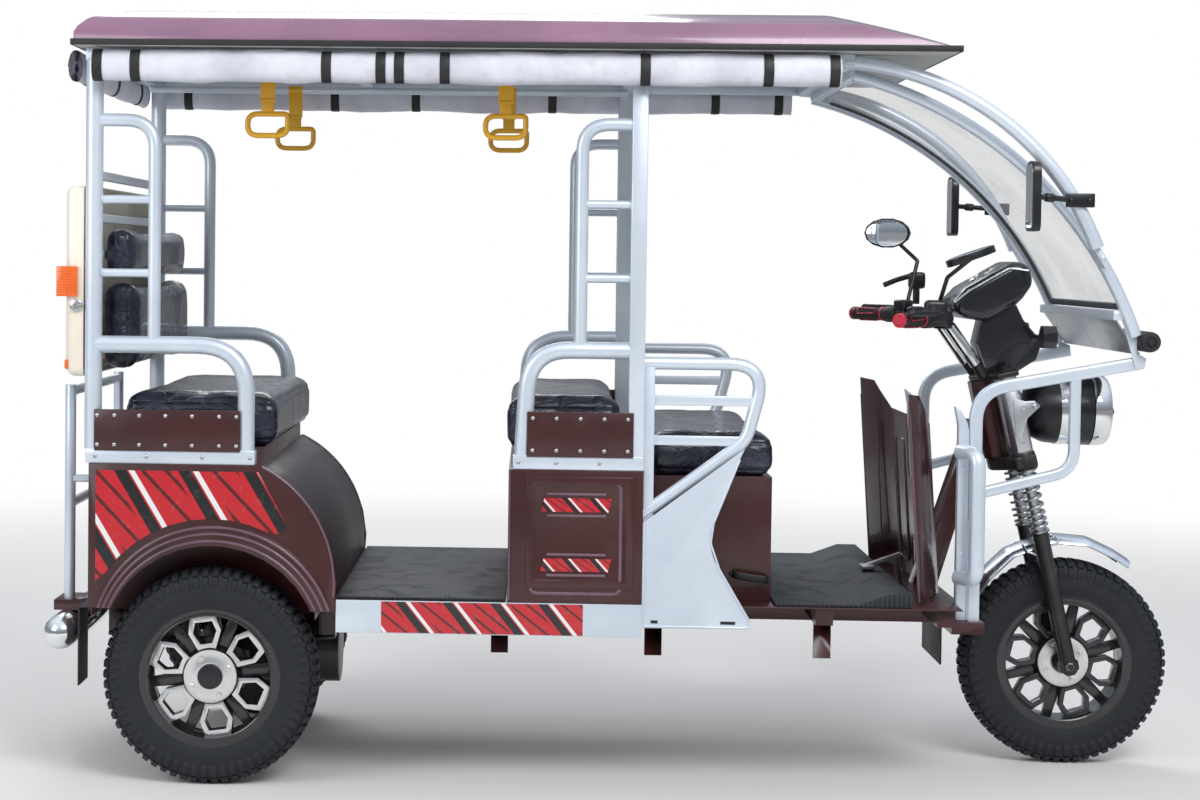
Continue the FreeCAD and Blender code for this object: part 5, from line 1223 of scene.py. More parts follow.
class SoftGoods:
    """Every pad and curtain roll."""

    ITEMS = (
        Pad("rear_seat", "rear_seat_cushion", (-225.0, -400.0, 789.3), (158.0, 400.0, 912.0), ((2, 884.0), (2, 806.0))),
        Pad("mid_seat", "mid_seat_cushion", (675.0, -400.0, 789.3), (962.0, 400.0, 914.0), ((2, 886.0), (2, 806.0))),
        Pad("driver_seat", "driver_seat_cushion", (1006.0, -395.0, 735.3), (1318.0, 395.0, 836.0),
            ((2, 812.0), (2, 750.0))),
        Pad("back_low", "rear_backrest", (-267.7, -392.0, 960.0), (-185.0, 392.0, 1176.0), ((0, -214.0),), 0, 0.008,
            0.009),
        Pad("back_high", "rear_backrest", (-267.7, -392.0, 1178.0), (-190.0, 392.0, 1302.0), ((0, -218.0),), 0, 0.008,
            0.008),
        Roll("side_right", (-273.0, -482.2, 1667.7), (1432.0, -482.2, 1667.7), (31.0, 44.0),
             (13.0, 100.0, 538.0, 662.0, 704.0, 808.0, 1263.0, 1541.0, 1690.0), 3.0, (90, 120)),
        Roll("side_left", (-273.0, 482.2, 1667.7), (1432.0, 482.2, 1667.7), (31.0, 44.0),
             (70.0, 470.0, 690.0, 1060.0, 1500.0, 1670.0), 11.0, (60, 90)),
        Roll("rear", (-321.5, -440.0, 1667.7), (-321.5, 440.0, 1667.7), (22.5, 44.0), (120.0, 440.0, 760.0), 23.0,
             (50, 80)),
    )

    def build(self, frame: Frame) -> None:
        """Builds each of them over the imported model."""
        for item in self.ITEMS:
            item.build(frame)


# Side frames, plates and decals


@dataclass(frozen=True)
class SideFrames(Assembly):
    """The round silver tubes beside the seats, with the plates riveted to them."""

    y: float = -430.0
    base: Pair = (751.0, 785.0)
    hoop_top: float = 1547.0
    arm: float = 1027.0
    rail: float = 1684.0
    pillar_r: float = 20.0
    hoop_r: float = 15.0
    rung_r: float = 10.0
    rungs: Pair = (1193.0, 1363.0)

    def side(self, pillar: float, hoop: float, elbow: Pair, span: Pair, bend: float) -> Work:
        """One seat's frame on the right: base rail, hoop with rungs, and armrest.

        Args:
            pillar: where its pillar stands along X.
            hoop: where the hoop comes down.
            elbow: the armrest's bend and foot along X.
            span: the base rail's ends.
            bend: the armrest's radius.

        Returns:
            The frame without its pillar.
        """
        y, (low, top) = self.y, self.base
        inward = math.copysign(1.0, hoop - pillar)
        rest = at(y, (pillar, self.arm), (elbow[0], self.arm), (elbow[1], top - 1.0))
        over = at(y, (pillar, self.hoop_top), (hoop, self.hoop_top), (hoop, self.arm))
        work = block((span[0], y - self.pillar_r, low), (span[1], y + self.pillar_r, top), 2.5)
        work.plus(tube(rounded(over, 95.0, 9), self.hoop_r, 20), tube(rounded(rest, bend, 10), self.pillar_r, 24))
        collar = [(self.rung_r + 3.4, 0), (self.rung_r + 2.2, 2.4), (self.rung_r - 0.5, 4.5)]
        for z in self.rungs:
            work.join(rod((pillar, y, z), (hoop, y, z), self.rung_r, 16))
            for x in (pillar + inward * (self.pillar_r - 1.0), hoop):
                work.join(turned(collar, facing((x, y, z), (inward, 0, 0)), 16, ring=True))
        return work

    def loop(self) -> Work:
        """The loop beside the driver with its post and two flat bars."""
        y = self.y
        bend = rounded(at(y, (1000, 1000), (1283, 1000), (1236, 822), (990, 641.5)), 78.0, 9)
        return tube(bend, self.hoop_r, 20).plus(
            block((1001, y - 12, 443), (1025, y + 12, 1008), 2.0), block((1024, y - 6, 903), (1268, y + 6, 926), 2.0),
            block((1024, y - 6, 811), (1232, y + 6, 833), 2.0))

    def build(self) -> None:
        """Builds both pairs of frames and the rivets in their plates."""
        y = self.y
        rear = self.side(-278.0, -137.0, (80.0, 80.0), (-292.0, 103.0), 130.0)
        rear.join(tube(at(y, (-278, 784), (-278, self.rail)), self.pillar_r, 24)).both_sides()
        rear.plus(*[block((-288, y, z), (-268, -y, z + 20), 2.0) for z in (1000, 1225, 1310, 1410)])
        self.add("rear_tubes", rear, Slot.SILVER, "rear_frame", TUBE_SMOOTH)
        mid = self.side(985.0, 852.0, (735.0, 722.0), (700.0, 1001.0), 100.0)
        mid.plus(block((965, y - 20, 784), (1001, y + 20, self.rail), 2.5), self.loop()).both_sides()
        self.add("mid_tubes", mid, Slot.SILVER, "mid_frames", TUBE_SMOOTH)
        plates = (((-264, -224, -166, -105, -43, 20, 60), (795, 863)), ((745, 800, 855, 910, 964), (796, 870)))
        heads = [(x, -452.8, z) for columns, rows in plates for x in columns for z in rows]
        heads += [(x, -449.8, 768) for x in (-270, -150, -20, 92, 712, 800, 900)]
        self.add("plate_rivets", dome_heads(5.2, 3.2, heads).both_sides(), Slot.BRIGHT)


@dataclass(frozen=True)
class BodyTrim(Assembly):
    """Decals, pressed beads, screws and edgings of the lower body."""

    face: float = -455.0
    box_face: float = -453.2
    flare_face: float = -463.6
    thick: float = 0.7
    arch: tuple[float, float, float] = (5.0, 324.0, 302.0)

    def sticker(self, y: float, *outline: Pair) -> Work:
        """A thin decal with (x, z) corners on a plane of the right side."""
        return prism(at(y, *outline), (0, -self.thick, 0), 0.25, 1)

    def decals(self) -> None:
        """Lays the slashed decals on quarters, seat box and sills."""
        x, z, radius = self.arch
        arch = [(x + radius * math.cos(t), z + radius * math.sin(t)) for t in map(math.radians, range(64, 146, 9))]
        wedge = self.sticker(self.face, (-266, 736), (112, 736), (182, 610), (168, 592), *arch, (-266, 478))
        sills = self.sticker(self.face, (400, 369), (866, 369), (866, 441), (400, 441))
        strips = Work().plus(*[self.sticker(self.box_face, (766, low), (922, low), (930, top), (774, top))
                               for low, top in ((655, 687), (517, 547))])
        for name, work, finish in (("quarter", wedge, Slashes("slashes_large", 0.150, 0.60, 0.02)),
                                   ("sill", sills, Slashes("slashes_sill", 0.110, 0.8, 0.05)),
                                   ("box", strips, Slashes("slashes_box", 0.062, 0.9, 0.03))):
            self.add("decal_" + name, work.both_sides().mapped("print"), finish=finish.make())

    def beads(self) -> None:
        """Raises the pressed beads of the seat box, flares and quarters, in a lighter maroon that is a painted
        highlight.
        """
        panel = at(-453, (850, 721), (744, 721), (744, 466), (950, 466), (950, 721), (850, 721))
        work = tube(rounded(panel, 16.0, 6)[:-1], 4.2, 10, loop=True, flat=0.55, normal=UP)
        work.join(tube(at(-452.5, (694, 449), (694, 749)), 3.0, 8))
        for z in (646, 696, 508, 556):
            work.join(tube(at(-453, (780, z), (916, z)), 3.4, 8, flat=0.7))
        for x, z, radius in ((10.6, 323, 284.5), (9, 319, 273), (7.2, 314, 261.5)):
            low = math.asin((417.0 - z) / radius)
            turns = [low + (math.pi - 2.0 * low) * k / 40.0 for k in range(41)]
            ridge = [(x + radius * math.cos(t), z + radius * math.sin(t)) for t in turns]
            work.join(tube(at(self.flare_face, *ridge), 3.6, 10, flat=0.9))
        work.join(tube(through((121, 748), (222, 668), (288, 450), -454.6), 3.0, 8))
        # The beads and flare ridges take the lighter maroon as a painted highlight
        self.add("pressed_beads", work.both_sides(), smooth=ROUND_SMOOTH, finish=highlight_paint("bead_highlight_paint"))

    def edges(self) -> None:
        """Lays the folded edges of the side panels, and their slots and straps."""
        fold = at(-455.6, (1247, 394), (1247, 412), (1178, 528), (1157, 588), (1163, 634), (1221, 782))
        edge = tube(rounded(fold, 22.0, 5), 2.6, 8).plus(tube(at(-455.4, (1004, 394), (1004, 632)), 2.4, 8),
                                                         tube(at(-455.2, (1004, 394), (1246, 394)), 2.2, 8))
        self.add("folded_edges", edge.both_sides(), Slot.SILVER, smooth=ROUND_SMOOTH)
        grip = [(1214, -375.2, 508), (1222, -392, 506), (1262, -396, 500), (1290, -391, 497), (1298, -375.2, 494)]
        slots = tube(rounded(grip, 14.0, 5), 9.0, 12, flat=0.28, normal=UP)
        slots.join(dome_heads(7.0, 4.0, at(-376, (1214, 508), (1298, 494))))
        for low, high in ((1022, 1038), (1182, 1216)):
            slots.join(block((low, -456.2, 401), (high, -454.8, 408), 0.4, 1))
        self.add("straps_and_slots", slots.both_sides(), Slot.RUBBER)

    def build(self) -> None:
        """Builds all of it."""
        self.decals()
        self.beads()
        self.edges()


# Front fork, lamp and controls


@dataclass(frozen=True)
class Fork:
    """Where the steering axis leans, and how its two legs stand to it."""

    foot: Point = (2017.0, 0.0, AXLE_Z)
    rake: float = -13.0
    ahead: float = 48.7
    out: float = 85.0

    @property
    def place(self) -> Matrix:
        """The place whose Z axis is the steering axis, at the height of the wheel's middle."""
        return Matrix.Translation(self.foot) @ Matrix.Rotation(math.radians(self.rake), 4, "Y")

    @property
    def legs(self) -> list[Matrix]:
        """The same for the middle lines of both legs."""
        return [self.place @ Matrix.Translation((self.ahead, side * self.out, 0.0)) for side in SIDES]


FORK = Fork()


@dataclass(frozen=True)
class Steering(Assembly):
    """The fork's springs and shrouds, the headlamp, the bar with its grips and mirrors, and the covers."""

    spring: Pair = (324.5, 486.5)
    coil_r: float = 20.3
    wire_r: float = 4.0
    coils: int = 9
    lamp: Point = (1955.0, 0.0, 878.0)
    bar_end: Point = (1592.0, 365.0, 1103.0)
    bar_corner: Point = (1752.0, 150.0, 1104.0)
    dial: tuple[Point, Point] = ((1858.0, 0.0, 1204.0), (1834.0, 0.0, 1250.0))

    def springs(self) -> None:
        """Winds both coil springs on their stanchions."""
        low, high = self.spring
        steps = 18
        path = []
        for k in range(self.coils * steps + 1):
            angle, share = WHOLE_TURN * k / steps, k / (self.coils * steps)
            eased = share + 0.045 * math.sin(WHOLE_TURN * (share - 0.5)) * math.cos(math.pi * (share - 0.5))
            path.append((self.coil_r * math.cos(angle), self.coil_r * math.sin(angle),
                         low + self.wire_r + (high - low - 2.0 * self.wire_r) * eased))
        coil = tube(path, self.wire_r, 8)
        for z in (low, high - 5.0):
            coil.join(turned([(14.5, z), (23.6, z), (23.6, z + 4), (14.5, z + 5)], steps=28, ring=True))
        node = "fork_springs"
        self.add("coil_springs", Work().join(coil, *FORK.legs), self.frame.slot[node], node, ROUND_SMOOTH)

    def shrouds(self) -> None:
        """Clips the silver shrouds and lamp brackets over the upper fork tubes, and the nuts on the axle."""
        cover = turned([(22.3, 524), (25, 524), (25.4, 540), (24.6, 690), (22.3, 696)], steps=40, ring=True)
        plate = prism(at(-113, (31.7, 530), (64.7, 530), (64.7, 668), (54.7, 690), (31.7, 690)), (0, 5, 0), 2.0)
        dimple = [(4.6, -0.5), (4.6, 0.4), (3.2, 0.8), (2.6, 0.2), (0, 0)]
        for z in range(552, 653, 20):
            plate.join(turned(dimple, facing((FORK.ahead, -113, z), RIGHT), 14))
        ear = prism(at(-116, (1914, 910), (1944, 904), (1965, 906), (1980, 893), (1966, 879), (1950, 863), (1935, 812),
                       (1921, 818)), (0, 4, 0), 1.6)
        washer = [(5, -1.2), (8.5, -1.2), (8.5, 1.6), (5, 1.6)]
        ear.join(turned(washer, facing((1940, -115, 885), RIGHT), 20, ring=True))
        ear.join(dome_heads(7.5, 5.0, [(1966, -115.5, 893)]))
        skin = Work().join(cover, *FORK.legs).join(plate, FORK.place, MIRROR @ FORK.place).join(ear, Matrix(), MIRROR)
        self.add("fork_shrouds", skin, Slot.SHEET)
        nut = [(0, 0), (14, 0), (14, 2.2), (10.5, 2.6), (10.5, 10), (8, 12), (0, 12)]
        nuts = [turned(nut, facing((WHEELBASE, side * 97.0, AXLE_Z), (0, side, 0)), 6) for side in SIDES]
        self.add("axle_nuts", Work().plus(*nuts), Slot.BRIGHT)

    def headlamp(self) -> None:
        """Turns the bucket with its bright band, the plated ring and the ribbed glass."""
        place = facing(self.lamp, AHEAD)
        back = turned([(0, 0), (30, 2), (54, 12), (70, 28), (81, 52), (84.5, 80), (85, 82), (85, 112), (85.6, 116),
                       (86, 140), (87.4, 146), (87.4, 164), (70, 165), (0, 165)], place)
        self.add("lamp_bucket", back, Slot.BLACK, "headlamp_shell", 30.0)
        ring = turned([(80, 166.2), (87.8, 166.4), (88, 170), (87.4, 190), (84, 204), (79, 209), (75, 207), (74, 196)],
                      place, 72, ring=True)
        ring.join(turned([(84.6, 84), (86.4, 84.6), (86.6, 110), (84.8, 111)], place, ring=True))
        self.add("lamp_ring", ring, Slot.CHROME)
        glass = turned([(0, 196), (72, 194), (76, 196), (76.5, 203), (68, 209.5), (50, 215), (26, 219), (0, 220.6)],
                       place)
        x, _, z = self.lamp
        for y in range(-60, 61, 10):
            reach = math.sqrt(66.0 ** 2 - y ** 2)
            glass.join(tube(at(y, (x + 206, z - reach), (x + 216.6, z), (x + 206, z + reach)), 1.2, 6))
        self.add("lamp_glass", glass, node="headlamp_bezel", finish=GlassBlock("lamp_glass").make())

    def grip(self, side: int) -> tuple[Work, Work]:
        """One grip, its collar, end cap and accents.

        Args:
            side: -1 for the right and 1 for the left.

        Returns:
            The black rubber and the red parts.
        """
        end, corner = (Vector((x, side * y, z)) for x, y, z in (self.bar_end, self.bar_corner))
        place, way = along(end, corner), (corner - end).normalized()
        ribs = [(r, 10 + 11 * k + z) for k in range(9) for r, z in ((16.8, 0), (16.9, 7.4), (15.4, 8.2), (15.4, 10.2))]
        rubber = turned([(0, 5), (13, 5), *ribs, (16.8, 111), (17, 121), (0, 121)], place, 28)
        rubber.join(rod(end + way * 121.0, end + way * 164.0, 21.0, 28, 5.0))
        red = turned([(0, 0.4), (9, 0.2), (10, 1.8), (13, 1.8), (14, 0.3), (17, 0.8), (17.2, 6), (13, 7)], place, 28)
        red.join(turned([(16.6, 108), (18.4, 109), (18.4, 113), (16.6, 114)], place, 28, ring=True))
        hoop = tube(rounded([(17.1, -6, 92), (16.6, -8, 30), (16.6, 8, 30), (17.1, 6, 92)], 6.0, 4), 1.5, 8)
        red.join(hoop, *[place @ Matrix.Rotation(math.radians(spin + 35.0), 4, "Z") for spin in (0, 120, 240)])
        return rubber, red

    def lever(self, side: int) -> Work:
        """One brake lever with its perch and switch housings.

        Args:
            side: -1 for the right and 1 for the left.

        Returns:
            The lever's pieces.
        """
        run = (Vector(self.bar_end) - Vector(self.bar_corner)).normalized()
        way, ahead = Vector((run.x, run.y * side, 0.0)), Vector((run.y, -run.x * side, 0.0))
        perch, housing = (Vector((x, side * y, 1106.0)) for x, y in ((1700.0, 220.0), (1726.0, 186.0)))
        root = perch + ahead * 24.0 + UP * 14.0
        path = [root + ahead * out + way * far for out, far in ((0, -6), (14, 22), (17, 80), (8, 132), (2, 165))]
        turn = Matrix.Rotation(math.atan2(way.y, way.x), 4, "Z")
        work = rod(perch - way * 15.0, perch + way * 15.0, 17.0, 24, 4.0)
        work.plus(tube(rounded(path, 26.0, 5), 7.2, 12, flat=0.6, normal=UP),
                  rod(path[-1] - way * 5.0, path[-1] + way * 6.0, 7.8, 14, 3.0),
                  rod(perch + ahead * 4.0, root + ahead * 4.0, 12.0, 18, 4.0))
        work.join(block((-20, -17, 8), (22, 17, 36), 6.0, 3), Matrix.Translation(perch) @ turn)
        return work.join(block((-15, -22, -26), (17, 22, 20), 8.0, 3), Matrix.Translation(housing) @ turn)

    def controls(self) -> None:
        """Builds grips, levers, housings and clamp blocks."""
        rubber, red = (Work().plus(*parts) for parts in zip(*[self.grip(side) for side in SIDES]))
        self.add("hand_grips", rubber, Slot.RUBBER, "handlebar_grips")
        paint = Paint("red_rubber", (0.55, 0.012, 0.045), (0.38, 0.008, 0.03), roughness=0.4, coat=0.1)
        self.add("grip_accents", red, finish=paint.make())
        foot, head = Vector((1752, -60, 1104)), Vector((1854, -60, 960))
        sleeves = rod(foot.lerp(head, 0.14), foot.lerp(head, 0.80), 14.6, 26, 2.0).both_sides()
        self.add("riser_sleeves", sleeves, Slot.CHROME)
        choke = rounded([(1669, 352, 1178), (1700, 340, 1192), (1744, 306, 1208)], 20.0, 5)
        levers = Work().plus(*[self.lever(side) for side in SIDES], block((1725, 284, 1170), (1768, 314, 1214), 9.0, 3),
                             rod((1746, 300, 1130), (1746, 300, 1180), 9.0, 16), tube(choke, 7.0, 12, flat=0.7),
                             block((1670, -268, 1090), (1724, -236, 1150), 10.0, 3),
                             rod((1690, -269, 1124), (1690, -262, 1124), 8.0, 18, 2.0))
        self.add("levers", levers, Slot.BLACK)

    def mirrors(self) -> None:
        """Sets glass in the bar mirrors and frames the big mirrors with rounded shells."""
        glass = Work()
        disc = turned([(0, 0.05), (53, 0.05), (54, 0.9), (51, 1.6), (0, 2)], steps=44)
        for centre, length, width, front in (
                ((1666, 296, 1315), (0.93, -0.37, 0), (0, 0, 1), (-0.37, -0.93, 0)),
                ((1767, -290, 1262), (0.94, 0, 0.34), (0, 1, 0), (-0.34, 0, 0.94))):
            turn = Matrix((Vector(length).normalized(), Vector(width), Vector(front))).transposed().to_4x4()
            hand = math.copysign(0.65, turn.determinant())
            glass.join(disc, Matrix.Translation(centre) @ turn @ Matrix.Diagonal((1.0, hand, 1.0, 1.0)))
        silvered = Metal("mirror_silver", (0.84, 0.90, 0.95), (0.78, 0.84, 0.90), 0.02, (8.0, 8.0, 8.0), 1e-6).make()
        self.add("bar_mirror_glass", glass, finish=silvered)
        case = [(1880, y, z) for y, z in ((-479, 1312), (-518, 1312), (-518, 1471), (-440, 1471), (-440, 1312),
                                          (-481, 1312))]
        shell = prism(rounded(case, 30.0, 7), (-18, 0, 0), 7.0, 3)
        shell.plus(rod((1874, -470, 1392), (1952, -449, 1386), 6.5, 16),
                   rod((1900, -463, 1390), (1922, -457, 1388), 10.0, 16, 3.0),
                   block((1950, -452.4, 1368), (2016, -446.4, 1400), 2.4),
                   dome_heads(6.0, 4.0, at(-452, (1962, 1384), (2004, 1384))))
        self.add("side_mirrors", shell.both_sides(), Slot.BLACK, "frame_mirrors", body=Body.VEHICLE)
        pane = [(1861.9, y, z) for y, z in ((-479, 1320), (-510, 1320), (-510, 1463), (-448, 1463), (-448, 1320),
                                            (-481, 1320))]
        pane = prism(rounded(pane, 24.0, 6), (-0.8, 0, 0), 0.2, 1)
        self.add("side_mirror_glass", pane.both_sides(), finish=silvered, body=Body.VEHICLE)

    def covers(self) -> None:
        """Rounds the instrument housing and the nacelle, with dial glass and a bright line."""
        gloss = Paint("gloss_black", (0.008, 0.009, 0.013), (0.012, 0.013, 0.018), roughness=0.22, coat=0.7,
                      dust_share=0.04).make()
        self.frame.refined("instrument_pod", 20.0, 20.0, gloss, 5)
        self.frame.refined("nacelle", 5.0, 25.0, gloss, 3)
        line = rounded([(1770, -97, 1142), (1806, -98.5, 1172), (1902, -98.5, 1228), (1948, -98, 1222)], 30.0, 8)
        rim = [(34, 0), (38, 2), (38, 9), (34.5, 11), (32, 8), (32, 0)]
        trim = tube(line, 2.4, 10).both_sides().join(turned(rim, along(*self.dial), 48, ring=True))
        self.add("pod_trim", trim, Slot.CHROME)
        dial = turned([(0, 1), (33, 1), (33, 5), (0, 7)], along(*self.dial), 40)
        self.add("dial_glass", dial, finish=GlassBlock("dial_glass", tint=(0.05, 0.06, 0.08)).make())

    def build(self) -> None:
        """Builds the whole front end."""
        self.springs()
        self.shrouds()
        self.headlamp()
        self.controls()
        self.mirrors()
        self.covers()


# Nose frame, fender and windscreen edging


@dataclass(frozen=True)
class Nose(Assembly):
    """The bent tubes of the roof and windscreen, the guards, the fender, the nose bar and what hangs near."""

    outer: tuple[Pair, Pair, Pair] = ((1450.0, 1695.0), (1806.0, 1567.0), (2028.0, 1276.0))
    inner: tuple[Pair, Pair, Pair] = ((1476.0, 1668.0), (1886.0, 1450.0), (2135.5, 1074.0))
    bows: tuple[float, ...] = (-278.0, 300.0, 983.0, 1455.0)
    beam_top: float = 403.0
    handle_z: float = 1547.0

    def handles(self) -> None:
        """Hangs the yellow grab handles on their straps."""
        ring = rounded(at(0, (30, 32), (54, 32), (54, -32), (-54, -32), (-54, 32), (30, 32)), 30.0, 7)[:-1]
        unit = tube([(p.x * 0.88, 0, p.z * 0.8) for p in ring], 6.6, 14, loop=True, flat=0.95)
        loop = turned([(9.2, -18), (11.6, -18), (11.6, 18), (9.2, 18)], facing((0, 0, 127), AHEAD), 24, ring=True)
        unit.plus(block((-15, -4, 26), (15, 4, 60), 3.0), block((-18, -1.6, 56), (18, 1.6, 124), 1.0),
                  tube(at(0, (-16, 58), (16, 58)), 4.6, 10), loop)
        work = Work().join(unit, *[Matrix.Translation((x, y, self.handle_z)) for x in (108, 672) for y in (-300, 300)])
        self.add("hand_loops", work, Slot.YELLOW, "grab_handles", 50.0)

    def tail(self) -> None:
        """Moulds the bulged tail panel, with its amber strip and clamps."""
        work = block((-346, -432, 951), (-299.5, 432, 1396), 22.0, 5)
        bmesh.ops.delete(work.bm, geom=[f for f in work.bm.faces if f.calc_center_median().x > -323.0], context="FACES")
        grown = bmesh.ops.extrude_edge_only(work.bm, edges=[e for e in work.bm.edges if e.is_boundary])
        bmesh.ops.translate(work.bm, vec=Vector((22, 0, 0)), verts=new_points(grown))
        bmesh.ops.recalc_face_normals(work.bm, faces=work.bm.faces[:])
        bmesh.ops.solidify(work.bm, geom=work.bm.faces[:], thickness=3.0)
        self.add("tail_moulding", work.closed_up(), Slot.CREAM, "tail_panel", ROUND_SMOOTH)
        self.add("amber_strip", block((-346.4, -430, 968), (-338, 430, 990), 2.0), Slot.ORANGE)
        clamp = turned([(0, 0), (13, 0), (15, 2), (15, 5), (12, 7), (6, 7.4), (5, 9), (0, 9)],
                       facing((-318, -432, 1116), RIGHT), 28)
        clamp.join(tube([(-318, -436, 1116), (-300, -446, 1122)], 4.0, 10)).both_sides()
        self.add("tail_clamps", clamp, Slot.BRIGHT)

    def canopy(self) -> None:
        """Builds the roof rails, bows and outer arcs."""
        tie = prism(at(-430, (2021, 1273), (2034, 1279), (2062, 1236), (2048, 1229)), (0, 58, 0), 2.0)
        side = block((-298, -445, 1682), (1470, -415, 1712), 3.0)
        side.plus(tube(through(*self.outer, -430), 16.0, 20),
                  rod((self.bows[0], -300, 1674), (self.bows[-2], -300, 1674), 9.0, 14), tie,
                  dome_heads(6.5, 4.0, [(2042, -430, 1254)])).both_sides()
        side.plus(*[block((x - 15, -430, 1682), (x + 15, 430, 1712), 2.5) for x in self.bows])
        self.add("canopy_tubes", side, Slot.SILVER, "canopy_frame", TUBE_SMOOTH)

    def screen(self) -> None:
        """Builds the windscreen's tubes, nose plates and black edging."""
        plate = at(-363, (2106, 1112), (2128, 1118), (2142, 1100), (2142, 1034), (2164, 1022), (2160, 1000),
                   (2140, 996))
        side = tube(through(*self.inner, -370), 14.0, 20).join(prism(plate, (0, 6, 0), 1.5)).both_sides()
        side.plus(block((1470, -370, 1664), (1500, 370, 1712), 2.5), block((2084, -370, 1110), (2106, 370, 1132), 3.0))
        self.add("windscreen_tubes", side, Slot.SILVER, "windscreen_frame", TUBE_SMOOTH)
        path = [p for p in through(*self.inner, -349.5, 40) if p.x > 1506.0 and p.z > 1136.0]
        edging = tube(path, section=squared(7.5, 4.0, 2.0), normal=LEFT).both_sides()
        x, z = path[-1].x, path[-1].z + 3.0
        sill = tube([(x, -352, z), (x, 352, z)], section=squared(4.0, 8.0, 2.0), normal=Vector((0.86, 0, 0.5)))
        self.add("windscreen_edging", edging.join(sill), Slot.RUBBER)

    def guards(self) -> None:
        """Builds the square guard tubes, the posts and the round grab handles."""
        low = self.beam_top
        main = rounded(at(-345, (1778, low), (1778, 940), (2158, 1012)), 85.0, 10)
        branch = rounded(at(-345, (2006, 978), (2006, 758), (1783, 700)), 62.0, 10)
        post = at(-357, (1736.3, low), (1762, low), (1762, 845), (1757, 868), (1744, 891), (1728, 905), (1736.3, 860))
        loop = rounded([(1742, -350, 798), (1772, -412, 798), (1772, -412, 505), (1742, -350, 505)], 64.0, 10)
        side = tube(main, section=squared(12.0, 15.0, 6.0), normal=LEFT)
        side.plus(tube(branch, section=squared(11.5, 12.6, 6.0), normal=LEFT), prism(post, (0, 24, 0), 3.0),
                  tube(loop, 17.8, 24), tube(at(-357.6, (1762.4, low + 4), (1762.4, 640)), 1.6, 6),
                  dome_heads(5.0, 3.0, at(-357, (1749, 560), (1749, 760))))
        self.add("guard_tubes", side.both_sides(), Slot.SILVER, "front_guards", TUBE_SMOOTH)
        cap = rod((1788.5, -357.4, 582), (1788.5, -357.4, 638), 8.5, 20, 4.0)
        self.add("guard_latches", cap.both_sides(), Slot.CHROME)

    def fender(self) -> None:
        """Sweeps the crowned fender and its stays."""
        line = at(0, (1836, 424), (1866, 470), (1926, 529), (2023, 569), (2121, 562), (2190, 530), (2226, 507))
        half = [(-57, -17), (-54, -11), (-46, -5.6), (-30, -1.4), (-12, 0.6)]
        outer = half + [(0, 2.4)] + [(-u, v) for u, v in half[::-1]]
        inner = [(u * 0.955, v - 2.6) for u, v in outer[::-1]]
        lines = [[(x, -40, z - 2), (x + 4, -62, z - 14), (2010, -72, foot)]
                 for x, z, foot in ((1960, 545, 516), (2040, 566, 546))]
        stays = Work().plus(*[tube(rounded(stay, 10.0, 3), 3.2, 10) for stay in lines]).both_sides()
        skin = tube(rounded(line, 60.0, 5), section=outer + inner, normal=LEFT)
        skin.plus(stays, dome_heads(6.0, 4.0, [(2030, -30, 569), (2030, 30, 569)], UP))
        steel = Metal("fender_steel", (0.78, 0.82, 0.88), (0.55, 0.57, 0.60), 0.16).make()
        self.add("crowned_fender", skin, Slot.BRIGHT, "front_fender", ROUND_SMOOTH, steel, Body.STEERING)

    def bar(self) -> None:
        """Turns the black nose bar with its end caps."""
        half = [(0, -392), (7, -392), (8, -388.5), (12, -388), (13, -391.5), (20, -391), (23.4, -387), (24, -380),
                (24, -365), (22.4, -363.5), (22.4, -361), (24, -359.5)]
        profile = half + [(r, -z) for r, z in half[::-1]]
        self.add("nose_roller", turned(profile, facing((2166, 0, 1061), LEFT), 40), Slot.RUBBER, "nose_bar")
        screws = [dome_heads(6.0, 3.4, [(2166, side * 388.5, 1061)], way) for side, way in ((-1, RIGHT), (1, LEFT))]
        self.add("roller_screws", Work().plus(*screws), Slot.BRIGHT)

    def yokes(self) -> None:
        """Builds the dark yokes, the stem and the bright stanchions of the fork."""
        outline = ((-24, -18), (22.7, -111), (74.7, -111), (74.7, 111), (22.7, 111), (-24, 18))
        dark = prism([(u, v, 488) for u, v in outline], (0, 0, 31), 5.0, 3)
        dark.plus(prism([(u, v, 715) for u, v in outline], (0, 0, 14), 4.0, 3), rod((0, 0, 519), (0, 0, 716), 14.0))
        cap = turned([(0, 729), (20, 729), (20, 733), (13, 736), (13, 742), (0, 743)], steps=6)
        cap.join(turned([(22, 482), (28, 484), (28, 522), (25, 527), (22, 527)], steps=36, ring=True))
        dark.moved(FORK.place).join(cap, *FORK.legs)
        self.add("dark_yokes", dark, Slot.BLACK_STEEL, "fork_yokes", body=Body.STEERING)
        leg = rod((0, 0, 318), (0, 0, 490), 13.0, 28).join(rod((0, 0, 515), (0, 0, 717), 22.0, 36))
        self.add("stanchions", Work().join(leg, *FORK.legs), Slot.SHEET, "fork_yokes", body=Body.STEERING)

    def legs(self) -> None:
        """Pipes the leg shield's edges and raises the beads of its panels, in a lighter maroon that is a painted
        highlight along them.
        """
        panel = [(1706.5, -100, 480), (1706.5, -225, 480), (1687, -225, 790), (1687, -100, 790)]
        edge = tube([(1649, -376, 446), (1619.5, -376, 888)], 3.4, 10)
        edge.plus(tube([(1711.5, -257, 449), (1684, -257, 852)], 3.0, 8),
                  tube([(1670, -318, 520), (1652, -318, 820)], 2.6, 8),
                  tube(rounded(panel + panel[:2], 24.0, 6)[1:-1], 3.0, 8, loop=True))
        # The pale piping stands in for the highlight along the shield's edges: painted highlight
        self.add("shield_highlight_piping", edge.both_sides(), smooth=ROUND_SMOOTH, finish=highlight_paint("shield_edge_highlight"))

    def build(self) -> None:
        """Builds the whole nose."""
        self.handles()
        self.tail()
        self.canopy()
        self.screen()
        self.guards()
        self.fender()
        self.bar()
        self.yokes()
        self.legs()


# Studio


